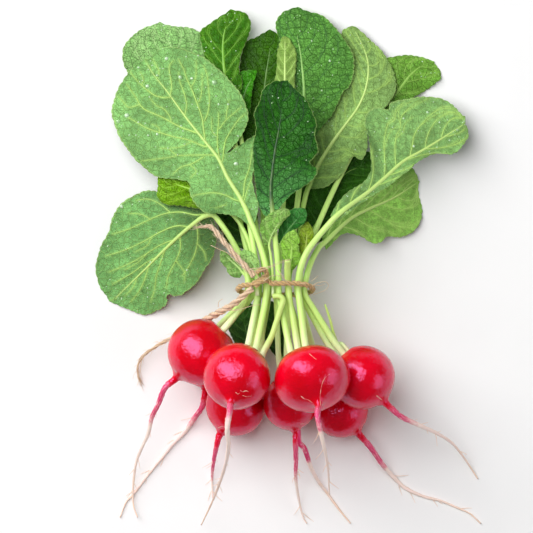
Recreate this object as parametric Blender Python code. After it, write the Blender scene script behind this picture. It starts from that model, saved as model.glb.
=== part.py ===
"""A bunch of radishes lying on a table, tied with jute twine.

Lengths are in millimetres in the tables and turned into metres when a mesh is made.
Places across the table are given as (px, py) picture places: px grows to the right,
py grows towards the roots, and PX is the length of one of them.
"""
import bpy
import bmesh
import math
import numpy as np

# Driving dimensions
PX = 0.45                    # mm for one picture place
ORIGIN_PX = (288.61, 267.28)   # picture place of the frame origin
SCALE = 0.001                # mm to metres
TWINE_D = 2.0                # mm, twine diameter
BLADE_T = 0.85               # mm, upright thickness of a blade
GAP = 0.45                   # mm, clear gap between leaves that lie on each other
CROWN_GAP = 0.4              # mm, gap between a crown and a leaf stalk
TIE_PY = 288.0               # picture row of the tie
RING_SIDES = 14              # points round a bulb
CELL = 0.7                   # mm, cell of the height map used to stack the leaves

# Radishes: centre (px, py, z mm), radius mm, half length mm, direction of the root in the
# picture (px, py), rise of the root direction in degrees
RADISHES = {
    "radish_left": dict(c=(201, 352, 30.6), r=14.9, a=15.0, d=(-24, 25), up=-2),
    "radish_hidden_left": dict(c=(204, 370, 7.65), r=8.0, a=8.3, d=(1, 22), up=-3),
    "radish_front_left": dict(c=(237, 375.5, 54.0), r=15.1, a=14.8, d=(-5.5, 24), up=42),
    "radish_lower_left": dict(c=(236, 406, 13.15), r=13.7, a=13.7, d=(-14, 25), up=2),
    "radish_front_right": dict(c=(311.5, 378, 54.2), r=17.2, a=13.6, d=(5.5, 22), up=39),
    "radish_lower_middle": dict(c=(290, 403, 23.2), r=12.2, a=12.4, d=(5.5, 28), up=0),
    "radish_right": dict(c=(362.5, 377.4, 32.5), r=14.6, a=14.3, d=(20.5, 22.5), up=6),
    "radish_lower_right": dict(c=(341, 411, 11.95), r=12.4, a=12.4, d=(17, 22), up=0),
}

# Taproots: picture route, length in mm over which the root comes down, end height mm
TAPROOTS = {
    "radish_left": dict(route=[(165, 388), (158, 405), (152, 417), (148, 434), (142, 447),
                               (136, 462), (133, 481), (132, 495), (133, 508), (137, 519)],
                        drop=62, end=2.4),
    "radish_hidden_left": dict(route=[(202, 407), (194, 419), (184, 433), (173, 444),
                                      (161, 459), (148, 475), (133, 495), (125, 504),
                                      (119, 519)],
                               drop=24, end=0.6),
    "radish_front_left": dict(route=[(230, 411), (228, 422), (228, 434), (229, 444),
                                     (226, 462), (221, 479), (215, 495), (210, 507),
                                     (201, 526)],
                              drop=64, end=6.0),
    "radish_lower_left": dict(route=[(217, 444), (214, 459), (212, 475), (212, 491),
                                     (212, 499)],
                              drop=26, end=1.0),
    "radish_front_right": dict(route=[(317, 415), (321, 434), (325, 452), (328, 471),
                                      (329, 494)],
                               drop=60, end=20.0),
    "radish_lower_middle": dict(route=[(295.5, 440), (296, 460), (296, 480), (299, 500),
                                       (303, 518), (307, 525)],
                                drop=42, end=0.6),
    "radish_right": dict(route=[(391, 408), (402, 417), (421, 426), (438, 434), (453, 444),
                                (466, 460), (479, 480)],
                         drop=56, end=0.6),
    "radish_lower_right": dict(route=[(371, 448), (382, 464), (395, 479), (407, 490),
                                      (425, 498), (441, 502), (458, 509), (471, 515),
                                      (482, 525)],
                               drop=30, end=0.6),
}
FORK_ROUTE = [(305, 450), (311, 468), (319, 483), (328, 495), (338, 509), (351, 525)]
ROOT_R = (1.55, 0.28)        # mm, taproot radius at the bulb and at the tip

# Leaves, lowest first.  crown: radish and place on its crown (mm sideways, mm up);
# slot: place in the tie (px, z mm), or None for a short leaf that ends below the tie;
# r: stalk radius mm; mid: route after the tie;
# left and right: the two margins from the foot of the blade to the tip;
# z: height in mm at the foot of the blade and at the tip; sag: droop of the margins
# (mm for each mm of half width); wave: mm; turns: number of waves
LEAVES = [
    dict(name="leaf_low_left", crown=("radish_lower_left", 0.0, -4.6), slot=None, r=0.75,
         mid=[(254, 360), (249, 342), (244, 322), (242, 303)],
         left=[(251, 362), (243, 354), (234, 342), (228, 328), (229, 314), (237, 303)],
         right=[(256, 361), (262, 350), (264, 336), (262, 322), (256, 308), (246, 301)],
         z=(8.2, 6.0), sag=0.04, wave=0.5, turns=2),
    dict(name="leaf_low_middle", crown=("radish_lower_middle", 0.0, -3.2), slot=None,
         r=0.8,
         mid=[(283, 362), (278, 346), (274, 330), (271, 314), (270, 302)],
         left=[(281, 361), (272, 352), (265, 340), (262, 326), (262, 312), (267, 304)],
         right=[(285.5, 361), (290, 350), (291, 336), (288, 322), (281, 310), (273, 302)],
         z=(15, 11), sag=0.04, wave=0.5, turns=2),
    dict(name="leaf_gap_right", crown=("radish_lower_right", -1.9, 0.0), slot=(288, 27.0),
         r=1.4,
         mid=[(292, 266), (302, 246), (314, 228), (326, 208), (334, 190), (342, 176),
              (356, 168), (375, 164)],
         left=[(298, 247), (292, 234), (286, 218), (284, 202), (290, 188), (306, 176),
               (330, 164), (354, 154), (371, 152)],
         right=[(306, 249), (321, 241), (334, 230), (345, 218), (354, 207), (362, 197),
                (370, 187), (377, 177), (379, 170)],
         z=(18, 6), sag=0.05, wave=0.8, turns=2),
    dict(name="leaf_right_tip", crown=("radish_lower_right", 1.9, 0.0), slot=(298, 27.0),
         r=1.5,
         mid=[(303, 262), (318, 225), (336, 185), (354, 150), (372, 120), (397, 92),
              (415, 70), (434, 60)],
         left=[(366, 120), (370, 104), (376, 90), (382, 76), (386, 64), (388, 57), (397, 55),
               (411, 54), (423, 56), (431, 59)],
         right=[(378, 124), (388, 115), (397, 106), (405, 100), (417, 95), (427, 89),
                (434, 84), (442, 77), (440, 68), (436, 63)],
         z=(8, 0.43), sag=0.05, wave=0.8, turns=3),
    dict(name="leaf_gap_left", crown=("radish_lower_left", -2.3, 1.3), slot=(259.5, 27.0),
         r=1.3,
         mid=[(257, 266), (248, 242), (238, 218), (228, 196), (221, 180)],
         left=[(246, 250), (230, 244), (221, 232), (216, 218), (213, 204), (213, 192),
               (216, 182)],
         right=[(253, 247), (256, 236), (258, 224), (256, 208), (249, 194), (239, 184),
                (227, 179)],
         z=(20, 9), sag=0.05, wave=0.8, turns=2),
    dict(name="leaf_top_left", crown=("radish_hidden_left", 0.0, 0.0), slot=(250.5, 27.0),
         r=1.5,
         mid=[(249, 262), (242, 230), (233, 190), (220, 150), (204, 112), (186, 74),
              (170, 44), (159, 22)],
         left=[(212, 146), (200, 136), (180, 126), (160, 110), (142, 92), (129, 74),
               (122, 60), (123, 46), (132, 34), (145, 26), (156, 22)],
         right=[(218, 142), (227, 126), (230, 108), (228, 90), (222, 74), (215, 58),
                (208, 44), (202, 33), (191, 27), (176, 25), (164, 23)],
         z=(8, 0.43), sag=0.05, wave=0.9, turns=3),
    dict(name="leaf_top_dark", crown=("radish_lower_left", 0.0, -1.9), slot=(269, 27.0),
         r=1.5,
         mid=[(267, 262), (264, 230), (262, 190), (262, 150), (263, 118), (265, 82),
              (270, 48), (271, 31)],
         left=[(258, 178), (246, 166), (236, 146), (233, 126), (235, 106), (240, 84), (240, 66),
               (242, 52), (247, 40), (256, 36), (267, 30)],
         right=[(266, 178), (275, 168), (282, 150), (287, 130), (290, 110), (292, 90),
                (291, 74), (289, 60), (285, 45), (279, 34), (273, 30)],
         z=(9, 4), sag=0.05, wave=0.9, turns=3),
    dict(name="leaf_right_tall", crown=("radish_right", -2.3, -1.4), slot=(300.5, 30.9),
         r=1.5,
         mid=[(300, 262), (300, 236), (303, 208), (308, 188), (317, 168), (330, 146),
              (346, 124), (360, 104), (368, 80), (367, 55), (354, 27)],
         left=[(305, 186), (306, 170), (310, 156), (315, 144), (317, 128), (325, 116),
               (335, 103), (342, 88), (347, 70), (345, 52), (341, 38), (343, 29), (349, 26)],
         right=[(313, 189), (325, 187), (334, 181), (342, 174), (352, 157), (362, 159),
                (368, 146), (368, 126), (384, 110), (396, 90), (395, 74), (384, 52),
                (359, 28)],
         z=(15, 4), sag=0.06, wave=1.0, turns=3),
    dict(name="leaf_under_right", crown=("radish_right", 0.9, 1.4), slot=(305, 34.7), r=1.6,
         mid=[(310, 267), (315, 251), (323, 244), (336, 231), (352, 217), (372, 207),
              (394, 197), (410, 187), (418, 182)],
         left=[(322, 238), (328, 226), (338, 213), (350, 202), (364, 192), (376, 184),
               (386, 177), (395, 172), (402, 169), (408, 167), (413, 168), (416, 171),
               (418, 175), (419, 179)],
         right=[(326, 250), (332, 244), (345, 233), (362, 237), (371, 242), (380, 243),
                (387, 237), (391, 236), (402, 237), (413, 232), (421, 222), (423, 211),
                (420, 195), (419, 185)],
         z=(27, 0.43), sag=0.12, wave=1.2, turns=3),
    dict(name="leaf_top_middle", crown=("radish_lower_middle", 1.8, 0.0), slot=(288, 30.9),
         r=1.6,
         mid=[(290, 262), (294, 230), (299, 190), (303, 150), (304, 96), (301, 57),
              (298, 40), (295, 12)],
         left=[(300, 156), (296, 140), (293, 122), (291, 104), (291, 86), (289, 68),
               (284, 50), (278, 34), (276, 21), (282, 12), (291, 8)],
         right=[(307, 154), (314, 138), (325, 123), (334, 112), (343, 92), (351, 84),
                (355, 62), (350, 46), (340, 32), (325, 16), (305, 9)],
         z=(15, 7), sag=0.08, wave=1.1, turns=3),
    dict(name="leaf_narrow_pale", crown=("radish_lower_middle", -1.8, 0.0),
         slot=(276, 30.9), r=1.3,
         mid=[(280, 262), (282, 230), (284, 190), (285, 160), (286, 134), (285, 82),
              (285, 39)],
         left=[(283, 136), (278, 118), (275, 100), (275, 82), (277, 64), (278, 48),
               (282, 37)],
         right=[(289, 134), (293, 118), (295, 100), (295, 82), (296, 64), (296, 50),
                (289, 38)],
         z=(15, 9), sag=0.1, wave=0.6, turns=2),
    dict(name="leaf_small_bright", crown=("radish_lower_left", 2.3, 1.3), slot=(265, 30.9),
         r=1.3,
         mid=[(263, 262), (256, 225), (250, 190), (245, 160), (241, 134), (244, 95),
              (256, 70)],
         left=[(236, 134), (230, 116), (227, 98), (228, 86), (232, 76), (241, 71),
               (253, 69)],
         right=[(244, 132), (249, 116), (251, 102), (252, 92), (253, 84), (255, 77),
                (257, 72)],
         z=(15, 10), sag=0.06, wave=0.6, turns=2),
    dict(name="young_leaf_left", crown=None, slot=(246.8, 30.9), r=0.9,
         mid=[(246, 276), (241, 269), (232, 261), (222, 252)],
         left=[(240, 278), (233, 277), (228, 273), (226, 268), (221, 262), (220, 254)],
         right=[(243, 271), (240, 265), (236, 260), (231, 257), (227, 253), (224, 250)],
         z=(31, 24), sag=0.05, wave=0.5, turns=2),
    dict(name="leaf_left_lower", crown=("radish_left", 0.3, 1.8), slot=(248.5, 34.7), r=1.6,
         mid=[(243.5, 262), (235, 246), (226, 231), (217, 218), (208, 215), (196, 222),
              (179, 236), (161, 253), (146, 268), (128, 285), (114, 299)],
         right=[(208, 211), (197, 203), (185, 197), (171, 193), (156, 191), (144, 191),
               (132, 196), (119, 205), (112, 217), (108, 231), (99, 249), (94.8, 268),
               (98, 285), (105, 295)],
         left=[(213, 219), (216, 229), (216, 242), (213, 256), (205, 269), (196, 283),
                (186, 292), (177, 296), (167, 295), (166, 304), (156, 311), (145, 315),
                (131, 311), (115, 304)],
         z=(31, 0.43), sag=0.12, wave=1.2, turns=3),
    dict(name="leaf_left_yellow", crown=("radish_left", -0.3, -1.8), slot=(255.5, 30.9),
         r=1.2,
         mid=[(254, 262), (248, 240), (238, 221), (224, 207), (204, 194), (184, 187),
              (163, 181)],
         right=[(219, 202), (210, 192), (200, 184), (189, 175), (178, 168), (168, 166),
               (162, 172)],
         left=[(217, 210), (207, 211), (195, 208), (180, 206), (165, 204), (157, 197),
                (158, 186)],
         z=(26, 19), sag=0.05, wave=0.7, turns=2),
    dict(name="leaf_top_bright", crown=("radish_front_left", 1.8, 0.0), slot=(258, 34.7),
         r=1.5,
         mid=[(255.5, 262), (250, 225), (244, 190), (236, 150), (229, 105), (224, 69),
              (223, 40), (229, 12)],
         left=[(226, 108), (219, 94), (213, 80), (207, 65), (203, 50), (200, 38), (201, 29),
               (209, 23), (218, 17), (227, 11)],
         right=[(233, 106), (240, 92), (242, 80), (239, 68), (241, 54), (247, 38), (251, 26),
                (249, 17), (243, 11), (233, 9)],
         z=(14, 9), sag=0.05, wave=0.9, turns=3),
    dict(name="young_leaf_back", crown=None, slot=(296, 34.7), r=0.9,
         mid=[(299, 272), (302, 262), (306, 244), (307, 225)],
         left=[(300, 260), (299, 249), (299, 238), (300, 229), (305, 223)],
         right=[(305, 260), (309, 252), (313, 241), (313, 231), (309, 223)],
         z=(34, 36), sag=0.05, wave=0.4, turns=1),
    dict(name="young_leaf_dark", crown=None, slot=(277.5, 34.7), r=0.9,
         mid=[(279, 262), (281, 244), (290, 228), (303, 213)],
         left=[(277, 243), (279, 229), (284, 218), (291, 210), (300, 208)],
         right=[(284, 244), (290, 234), (298, 228), (305, 222), (307, 214)],
         z=(35, 40), sag=0.06, wave=0.4, turns=1),
    dict(name="young_leaf_bright", crown=None, slot=(287, 34.7), r=0.9,
         mid=[(289, 272), (290.5, 262), (291.5, 250), (293, 233)],
         left=[(287, 270), (284, 262), (282, 254), (281, 243), (286, 234), (291, 231)],
         right=[(293, 270), (298, 264), (301, 256), (297, 249), (300, 240), (296, 232)],
         z=(35.4, 42), sag=0.06, wave=0.4, turns=1),
    dict(name="leaf_front_right", crown=("radish_front_right", 0.6, 0.0),
         slot=(298.6, 38.6), r=1.7,
         mid=[(300.6, 267), (305, 255), (314, 242), (326, 227), (339, 214), (354, 203),
              (370, 191), (382, 181), (402, 163), (417, 154), (435, 143), (449, 134),
              (465, 124)],
         left=[(330, 216), (339, 201), (351, 190), (366, 180), (371, 166), (369, 140),
               (365, 120), (369, 111), (377, 107), (388, 109), (392, 102), (410, 98),
               (428, 96), (441, 98), (453, 104), (462, 114)],
         right=[(336, 222), (347, 214), (360, 204), (374, 195), (388, 186), (400, 177),
                (410, 169), (418, 162), (430, 155), (440, 153), (450, 154), (458, 151),
                (465, 143), (469, 135), (468, 128), (466, 121)],
         z=(37, 12), sag=0.14, wave=1.4, turns=3),
    dict(name="young_leaf_round", crown=None, slot=(257.4, 38.6), r=0.9,
         mid=[(257.6, 276), (255.5, 268), (250, 260), (242, 253)],
         left=[(252, 273), (246, 270), (242, 264), (240, 256)],
         right=[(260, 269), (259, 260), (253, 253), (245, 250)],
         z=(38.6, 39), sag=0.05, wave=0.3, turns=1),
    dict(name="leaf_front_left", crown=("radish_front_left", 5.6, 0.0), slot=(266.8, 38.6),
         r=1.7,
         mid=[(265.6, 266), (260, 245), (251, 221), (241, 199), (229, 180), (218, 158),
              (203, 139), (184, 115), (169, 94), (156, 78), (146, 62)],
         left=[(247, 224), (236, 216), (222, 214), (207, 213), (196, 205), (190, 193),
               (189, 183), (177, 179), (158, 177), (141, 165), (131, 154), (121, 140),
               (114, 124), (111.5, 108), (118, 88), (129, 71), (143, 60)],
         right=[(255, 223), (258, 206), (254, 190), (252, 178), (256, 160), (256, 138),
                (249, 139), (228, 153.5), (229.5, 150), (238, 140), (246, 127), (248, 114),
                (243, 98), (229, 79), (202, 56), (167, 46), (149, 58)],
         z=(37, 14), sag=0.12, wave=1.5, turns=3),
    dict(name="leaf_middle_dark", crown=("radish_front_right", -6.4, 0.0),
         slot=(278.7, 38.6), r=1.6,
         mid=[(277.6, 262), (275, 238), (273, 216), (271, 191), (273, 167), (275, 150),
              (279, 128), (282, 102), (285, 85)],
         left=[(269, 218), (263, 214), (258, 203), (256, 188), (254, 172), (253, 148),
               (256, 127), (254, 113), (260, 101), (263, 89), (273, 82), (283, 81)],
         right=[(276, 216), (281, 206), (290, 196), (303, 187), (314, 179), (317, 170),
                (310, 163), (318, 152), (315, 135), (316, 122), (306, 100), (291, 85)],
         z=(40, 27), sag=-0.10, wave=1.3, turns=3),
    dict(name="young_leaf_pale", crown=None, slot=(272.8, 38.6), r=0.65,
         mid=[(272, 266), (270.5, 254), (270, 244), (276, 228), (287, 212)],
         left=[(265.5, 246), (261, 235), (260, 225), (267, 216), (277, 210), (285, 209)],
         right=[(270, 243), (273, 236), (279, 228), (284, 221), (288, 217), (290, 214)],
         z=(40.5, 44), sag=0.08, wave=0.4, turns=1),
]
END_PY = 295.5               # picture row where the young leaves end inside the tie

# Leaf stalks without a blade: route (px, py, z mm) and radius mm at both ends
STUBS = {
    "stalk_kinked": dict(crown=("radish_front_left", 9.2, 0.0),
                         route=[(271.6, 336, 43.6), (275.6, 324, 43.2), (279.4, 312, 43.0),
                                (282.2, 303.4, 43.0), (283, 299.8, 43.0),
                                (281, 296.8, 43.0), (277.6, 295.8, 42.8),
                                (272.8, 296.4, 42.4)], r=(1.45, 1.25)),
    "stalk_cut": dict(crown=("radish_front_right", -2.9, 0.0),
                      route=[(293.2, 320, 41.0), (289.6, 300, 39.0), (288.4, 288, 38.6),
                             (287.8, 280, 38.6), (287.4, 270, 40.6), (287.8, 260, 43.0)],
                      r=(1.5, 1.4)),
    "stalk_thin": dict(crown=("radish_right", 3.3, -0.5),
                       route=[(337.2, 343, 28.8), (333, 332, 29.6), (330.2, 320, 32.0),
                              (325, 304.5, 35.0)],
                       r=(1.0, 0.45)),
}

# Twine: loop round the stalks, knot and two tails, (px, py, z mm)
LOOP_CENTRE = (275.4, 289.0, 32.6)
LOOP_HALF = (37.0, 6.0, 10.4)     # px across, px along, mm up
LOOP_POWER = 3.5
KNOT_IN = [(268, 280.5, 43.4), (263.5, 281, 45.4), (259, 282.5, 46.2), (255.4, 285.6, 45.2)]
KNOT_OUT = [(251.5, 284.6, 42.6), (256.4, 281.8, 43.1), (262, 278.8, 42.9),
            (266.5, 274.4, 43.6), (265.2, 270.2, 45.2), (260.4, 269.8, 45.9),
            (256.6, 273.0, 45.6)]
TAIL_SHORT = [(254.2, 276.4, 45.0), (248, 269, 44.6), (242, 262.5, 44.0),
              (236, 256, 43.2), (231, 250, 42.6), (226, 244, 42.0), (222, 239, 41.4),
              (218, 234, 40.8), (214.5, 230, 40.2), (212, 227, 39.6), (207, 226.4, 38.8),
              (201, 227, 38.0)]
TAIL_LONG = [(252.6, 288.2, 44.0), (246, 293.6, 42.4), (238.5, 300, 40.2),
             (231, 305.6, 37.6), (224, 309.6, 34.0), (216, 313.8, 29.8), (208, 318.2, 25.2),
             (200, 322.5, 20.8), (192, 326.8, 17.4), (184, 331, 14.8), (176, 335.4, 12.6),
             (168, 340, 10.4), (160, 344, 8.4), (152.5, 348.8, 6.6), (146, 353.6, 5.2),
             (141, 358.6, 4.0), (138, 364, 2.9), (136.7, 370, 2.0), (137.4, 376, 1.4),
             (138.8, 381, 1.1)]


def place(px, py):
    """Millimetres across the table of a picture place."""
    return ((px - ORIGIN_PX[0]) * PX, (ORIGIN_PX[1] - py) * PX)


def route3(points):
    """Route in millimetres from (px, py, z) places."""
    return [(*place(p[0], p[1]), p[2]) for p in points]


def unit(v):
    v = np.asarray(v, float)
    return v / max(np.linalg.norm(v), 1e-9)


def smooth(points, count, power=1.0):
    """Evenly spaced points on a smooth curve through the given ones."""
    p = np.array(points, float)
    ends = np.vstack([2 * p[0] - p[1], p, 2 * p[-1] - p[-2]])
    dense = []
    for i in range(len(p) - 1):
        a, b, c, d = ends[i:i + 4]
        for t in np.linspace(0, 1, 12, endpoint=False):
            dense.append(0.5 * (2 * b + (c - a) * t + (2 * a - 5 * b + 4 * c - d) * t * t
                                + (3 * b - a - 3 * c + d) * t ** 3))
    dense.append(p[-1])
    dense = np.array(dense)
    run = np.concatenate([[0], np.cumsum(np.linalg.norm(np.diff(dense, axis=0), axis=1))])
    want = run[-1] * np.linspace(0, 1, count) ** power
    return np.stack([np.interp(want, run, dense[:, k]) for k in range(dense.shape[1])], 1)


def run_length(points):
    """Running length along a route."""
    steps = np.linalg.norm(np.diff(np.asarray(points, float), axis=0), axis=1)
    return np.concatenate([[0], np.cumsum(steps)])


def material(name, colour, rough):
    """One plain surface colour for a piece."""
    mat = bpy.data.materials.new(name)
    mat.use_nodes = True
    shader = mat.node_tree.nodes["Principled BSDF"]
    shader.inputs["Base Color"].default_value = (*colour, 1.0)
    shader.inputs["Roughness"].default_value = rough
    mat.diffuse_color = (*colour, 1.0)
    return mat


def add_mesh(name, verts, faces, mat):
    """Closed mesh from millimetre points."""
    mesh = bpy.data.meshes.new(name)
    mesh.from_pydata([tuple(float(c) * SCALE for c in v) for v in verts], [], faces)
    bm = bmesh.new()
    bm.from_mesh(mesh)
    bmesh.ops.recalc_face_normals(bm, faces=bm.faces)
    bm.to_mesh(mesh)
    bm.free()
    mesh.materials.append(mat)
    obj = bpy.data.objects.new(name, mesh)
    bpy.context.scene.collection.objects.link(obj)
    return obj


def radish_axis(name):
    """Centre and root direction of a radish, in millimetres."""
    spec = RADISHES[name]
    centre = np.array([*place(spec["c"][0], spec["c"][1]), spec["c"][2]])
    flat = unit((spec["d"][0], -spec["d"][1]))
    rise = math.radians(spec["up"])
    return centre, np.array([flat[0] * math.cos(rise), flat[1] * math.cos(rise),
                             math.sin(rise)])


CROWN_ANGLE = math.radians(20)
SHOULDER = 2.0               # mm, how far within its place a stalk meets the bulb


def crown_place(name, side, up):
    """Point on the crown of a radish, or on its shoulder, and the outward direction."""
    centre, root = radish_axis(name)
    spec = RADISHES[name]
    out = -root
    across = unit(np.cross((0, 0, 1), out))
    if across[0] < 0:
        across = -across
    lift = unit(np.cross(out, across))
    if lift[2] < 0:
        lift = -lift
    reach = max(0.0, math.hypot(side, up) - SHOULDER) / spec["r"]
    foot = centre + out * spec["a"] * min(math.cos(CROWN_ANGLE), math.sqrt(1 - reach ** 2))
    return foot + across * side + lift * up, out


def rings_to_mesh(rings):
    """Points and triangles of a tube with flat ends from equal rings."""
    n = len(rings[0])
    verts = [v for ring in rings for v in ring]
    faces = []
    for i in range(len(rings) - 1):
        for j in range(n):
            a, b = i * n + j, i * n + (j + 1) % n
            faces.append((a, b, b + n, a + n))
    faces.append(tuple(range(n - 1, -1, -1)))
    last = (len(rings) - 1) * n
    faces.append(tuple(last + j for j in range(n)))
    return verts, faces


def ring(centre, across, lift, radius, count, turn=0.0):
    out = []
    for j in range(count):
        angle = turn + 2 * math.pi * j / count
        p = centre + across * radius * math.cos(angle) + lift * radius * math.sin(angle)
        p[2] = max(p[2], 0.0)
        out.append(p)
    return out


def tail_heights(spine_xy, z0, slope, drop, end):
    """Heights of a taproot that leaves the bulb with a slope and comes down."""
    s = run_length(spine_xy)
    u = np.clip(s / drop, 0, 1)
    return z0 + slope * drop * u * (1 - u) ** 2 + (end - z0) * (3 * u ** 2 - 2 * u ** 3)


def radish(name, mat):
    """Bulb and taproot as one body."""
    spec = RADISHES[name]
    tail = TAPROOTS[name]
    centre, root = radish_axis(name)
    radius, half = spec["r"], spec["a"]
    rings_at = [(-half * math.cos(t), radius * math.sin(t))
                for t in [CROWN_ANGLE] + [math.radians(v) for v in
                                          (36, 53, 69, 83, 97, 112, 128, 144, 157)]]
    rings_at.append((half * 0.985, radius * 0.24))
    rings_at.append((half * 1.07, max(radius * 0.125, 1.7)))
    pole = centre + root * half * 1.16
    # The root starts on the axis and takes up the picture route
    route_xy = [(pole[0], pole[1])] + [place(*p) for p in tail["route"]]
    count = max(8, int(run_length(route_xy)[-1] / 8.0) + 1)
    xy = smooth(route_xy, count, 1.15)
    slope = root[2] / max(math.hypot(root[0], root[1]), 0.2)
    z = tail_heights(xy, pole[2], slope, tail["drop"], tail["end"])
    rise = np.linspace(0, 1, count)
    r_tail = ROOT_R[0] + (ROOT_R[1] - ROOT_R[0]) * rise ** 0.8
    z = np.maximum(z, r_tail)
    spine = [centre + root * s for s, _ in rings_at]
    radii = [r for _, r in rings_at]
    spine += [np.array([*xy[i], z[i]]) for i in range(count)]
    radii += list(r_tail)
    frames = tube_frames(spine, root)
    if name == "radish_lower_middle":
        return forked_radish(name, spine, radii, frames, len(rings_at), mat)
    rings = [ring(p, f[0], f[1], r, RING_SIDES) for p, f, r in zip(spine, frames, radii)]
    verts, faces = rings_to_mesh(rings)
    return add_mesh(name, verts, faces, mat)


def tube_frames(spine, start):
    """Sideways and upward directions along a route, without twist."""
    frames = []
    across = unit(np.cross((0, 0, 1), start))
    n = len(spine)
    for i in range(n):
        before = spine[i] - spine[i - 1] if i > 0 else start
        after = spine[i + 1] - spine[i] if i < n - 1 else before
        if i == n - 1:
            after = before
        way = unit(unit(before) + unit(after))
        across = unit(across - way * np.dot(across, way))
        frames.append((across, np.cross(way, across)))
    return frames


def forked_radish(name, spine, radii, frames, n_bulb, mat):
    """Radish whose root splits in two where it leaves the bulb."""
    count = 12
    stem_rings = [ring(p, f[0], f[1], r, count)
                  for p, f, r in list(zip(spine, frames, radii))[:n_bulb]]
    # Last common ring, wider across than it is high
    p, f = spine[n_bulb], frames[n_bulb]
    wide = []
    for j in range(count):
        angle = 2 * math.pi * j / count
        wide.append(p + f[0] * 2.3 * math.cos(angle) + f[1] * 1.35 * math.sin(angle))
    stem_rings.append(wide)
    verts = [v for r in stem_rings for v in r]
    faces = []
    for i in range(len(stem_rings) - 1):
        for j in range(count):
            a, b = i * count + j, i * count + (j + 1) % count
            faces.append((a, b, b + count, a + count))
    faces.append(tuple(range(count - 1, -1, -1)))
    base = (len(stem_rings) - 1) * count
    way = unit(np.cross(f[0], f[1]))
    saddle = len(verts)
    verts.append(p + way * 0.5)
    # One half ring for each root; the points 3 and 9 and the saddle belong to both
    half_a = [base + j for j in (9, 10, 11, 0, 1, 2, 3)] + [saddle]
    half_b = [base + j for j in (3, 4, 5, 6, 7, 8, 9)] + [saddle]
    main = [np.array(q) for q in spine[n_bulb + 1:]]
    side_xy = smooth([(p[0] + 1.4, p[1] - 3.6)] + [place(*q) for q in FORK_ROUTE], 8, 1.1)
    side_z = tail_heights(side_xy, p[2], 0.0, 34, 0.6)
    right_side = f[0][0] > 0
    for half, route_kind in ((half_a, "a"), (half_b, "b")):
        is_side = (route_kind == "a") == right_side
        if is_side:
            route = [np.array([*side_xy[i], side_z[i]]) for i in range(len(side_xy))]
        else:
            route = [q.copy() for q in main]
            shift = -f[0] * (1.1 if right_side else -1.1)
            for i, q in enumerate(route):
                q += shift * max(0.0, 1.0 - i / 3.0)
        n = len(route)
        r_here = ROOT_R[0] + (ROOT_R[1] - ROOT_R[0]) * np.linspace(0, 1, n) ** 0.8
        fr = tube_frames(route, way)
        previous = half
        sides = len(half)
        # The eight points keep the order of the half ring that they grow from
        first = np.array([verts[k] for k in half])
        mid = first.mean(axis=0)
        for i in range(n):
            centre = route[i]
            centre[2] = max(centre[2], r_here[i])
            new = []
            for k in range(sides):
                rel = first[k] - mid
                angle = math.atan2(np.dot(rel, f[1]), np.dot(rel, f[0]))
                q = centre + fr[i][0] * r_here[i] * math.cos(angle) \
                    + fr[i][1] * r_here[i] * math.sin(angle)
                q[2] = max(q[2], 0.0)
                new.append(q)
            start = len(verts)
            verts += new
            for k in range(sides):
                k2 = (k + 1) % sides
                faces.append((previous[k], previous[k2], start + k2, start + k))
            previous = [start + k for k in range(sides)]
        faces.append(tuple(previous))
    return add_mesh(name, verts, faces, mat)


# Columns across a leaf: signed share of the half width, and the place on the round stalk
COLUMNS = (-1.0, -0.55, -0.12, 0.12, 0.55, 1.0)
STALK_ANGLES = (165, 135, 105, 75, 45, 15)


def margin_points(spec):
    """Margins and the matching midrib points of a blade, in millimetres."""
    left = np.array([place(*p) for p in spec["left"]])
    right = np.array([place(*p) for p in spec["right"]])
    return left, right


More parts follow.
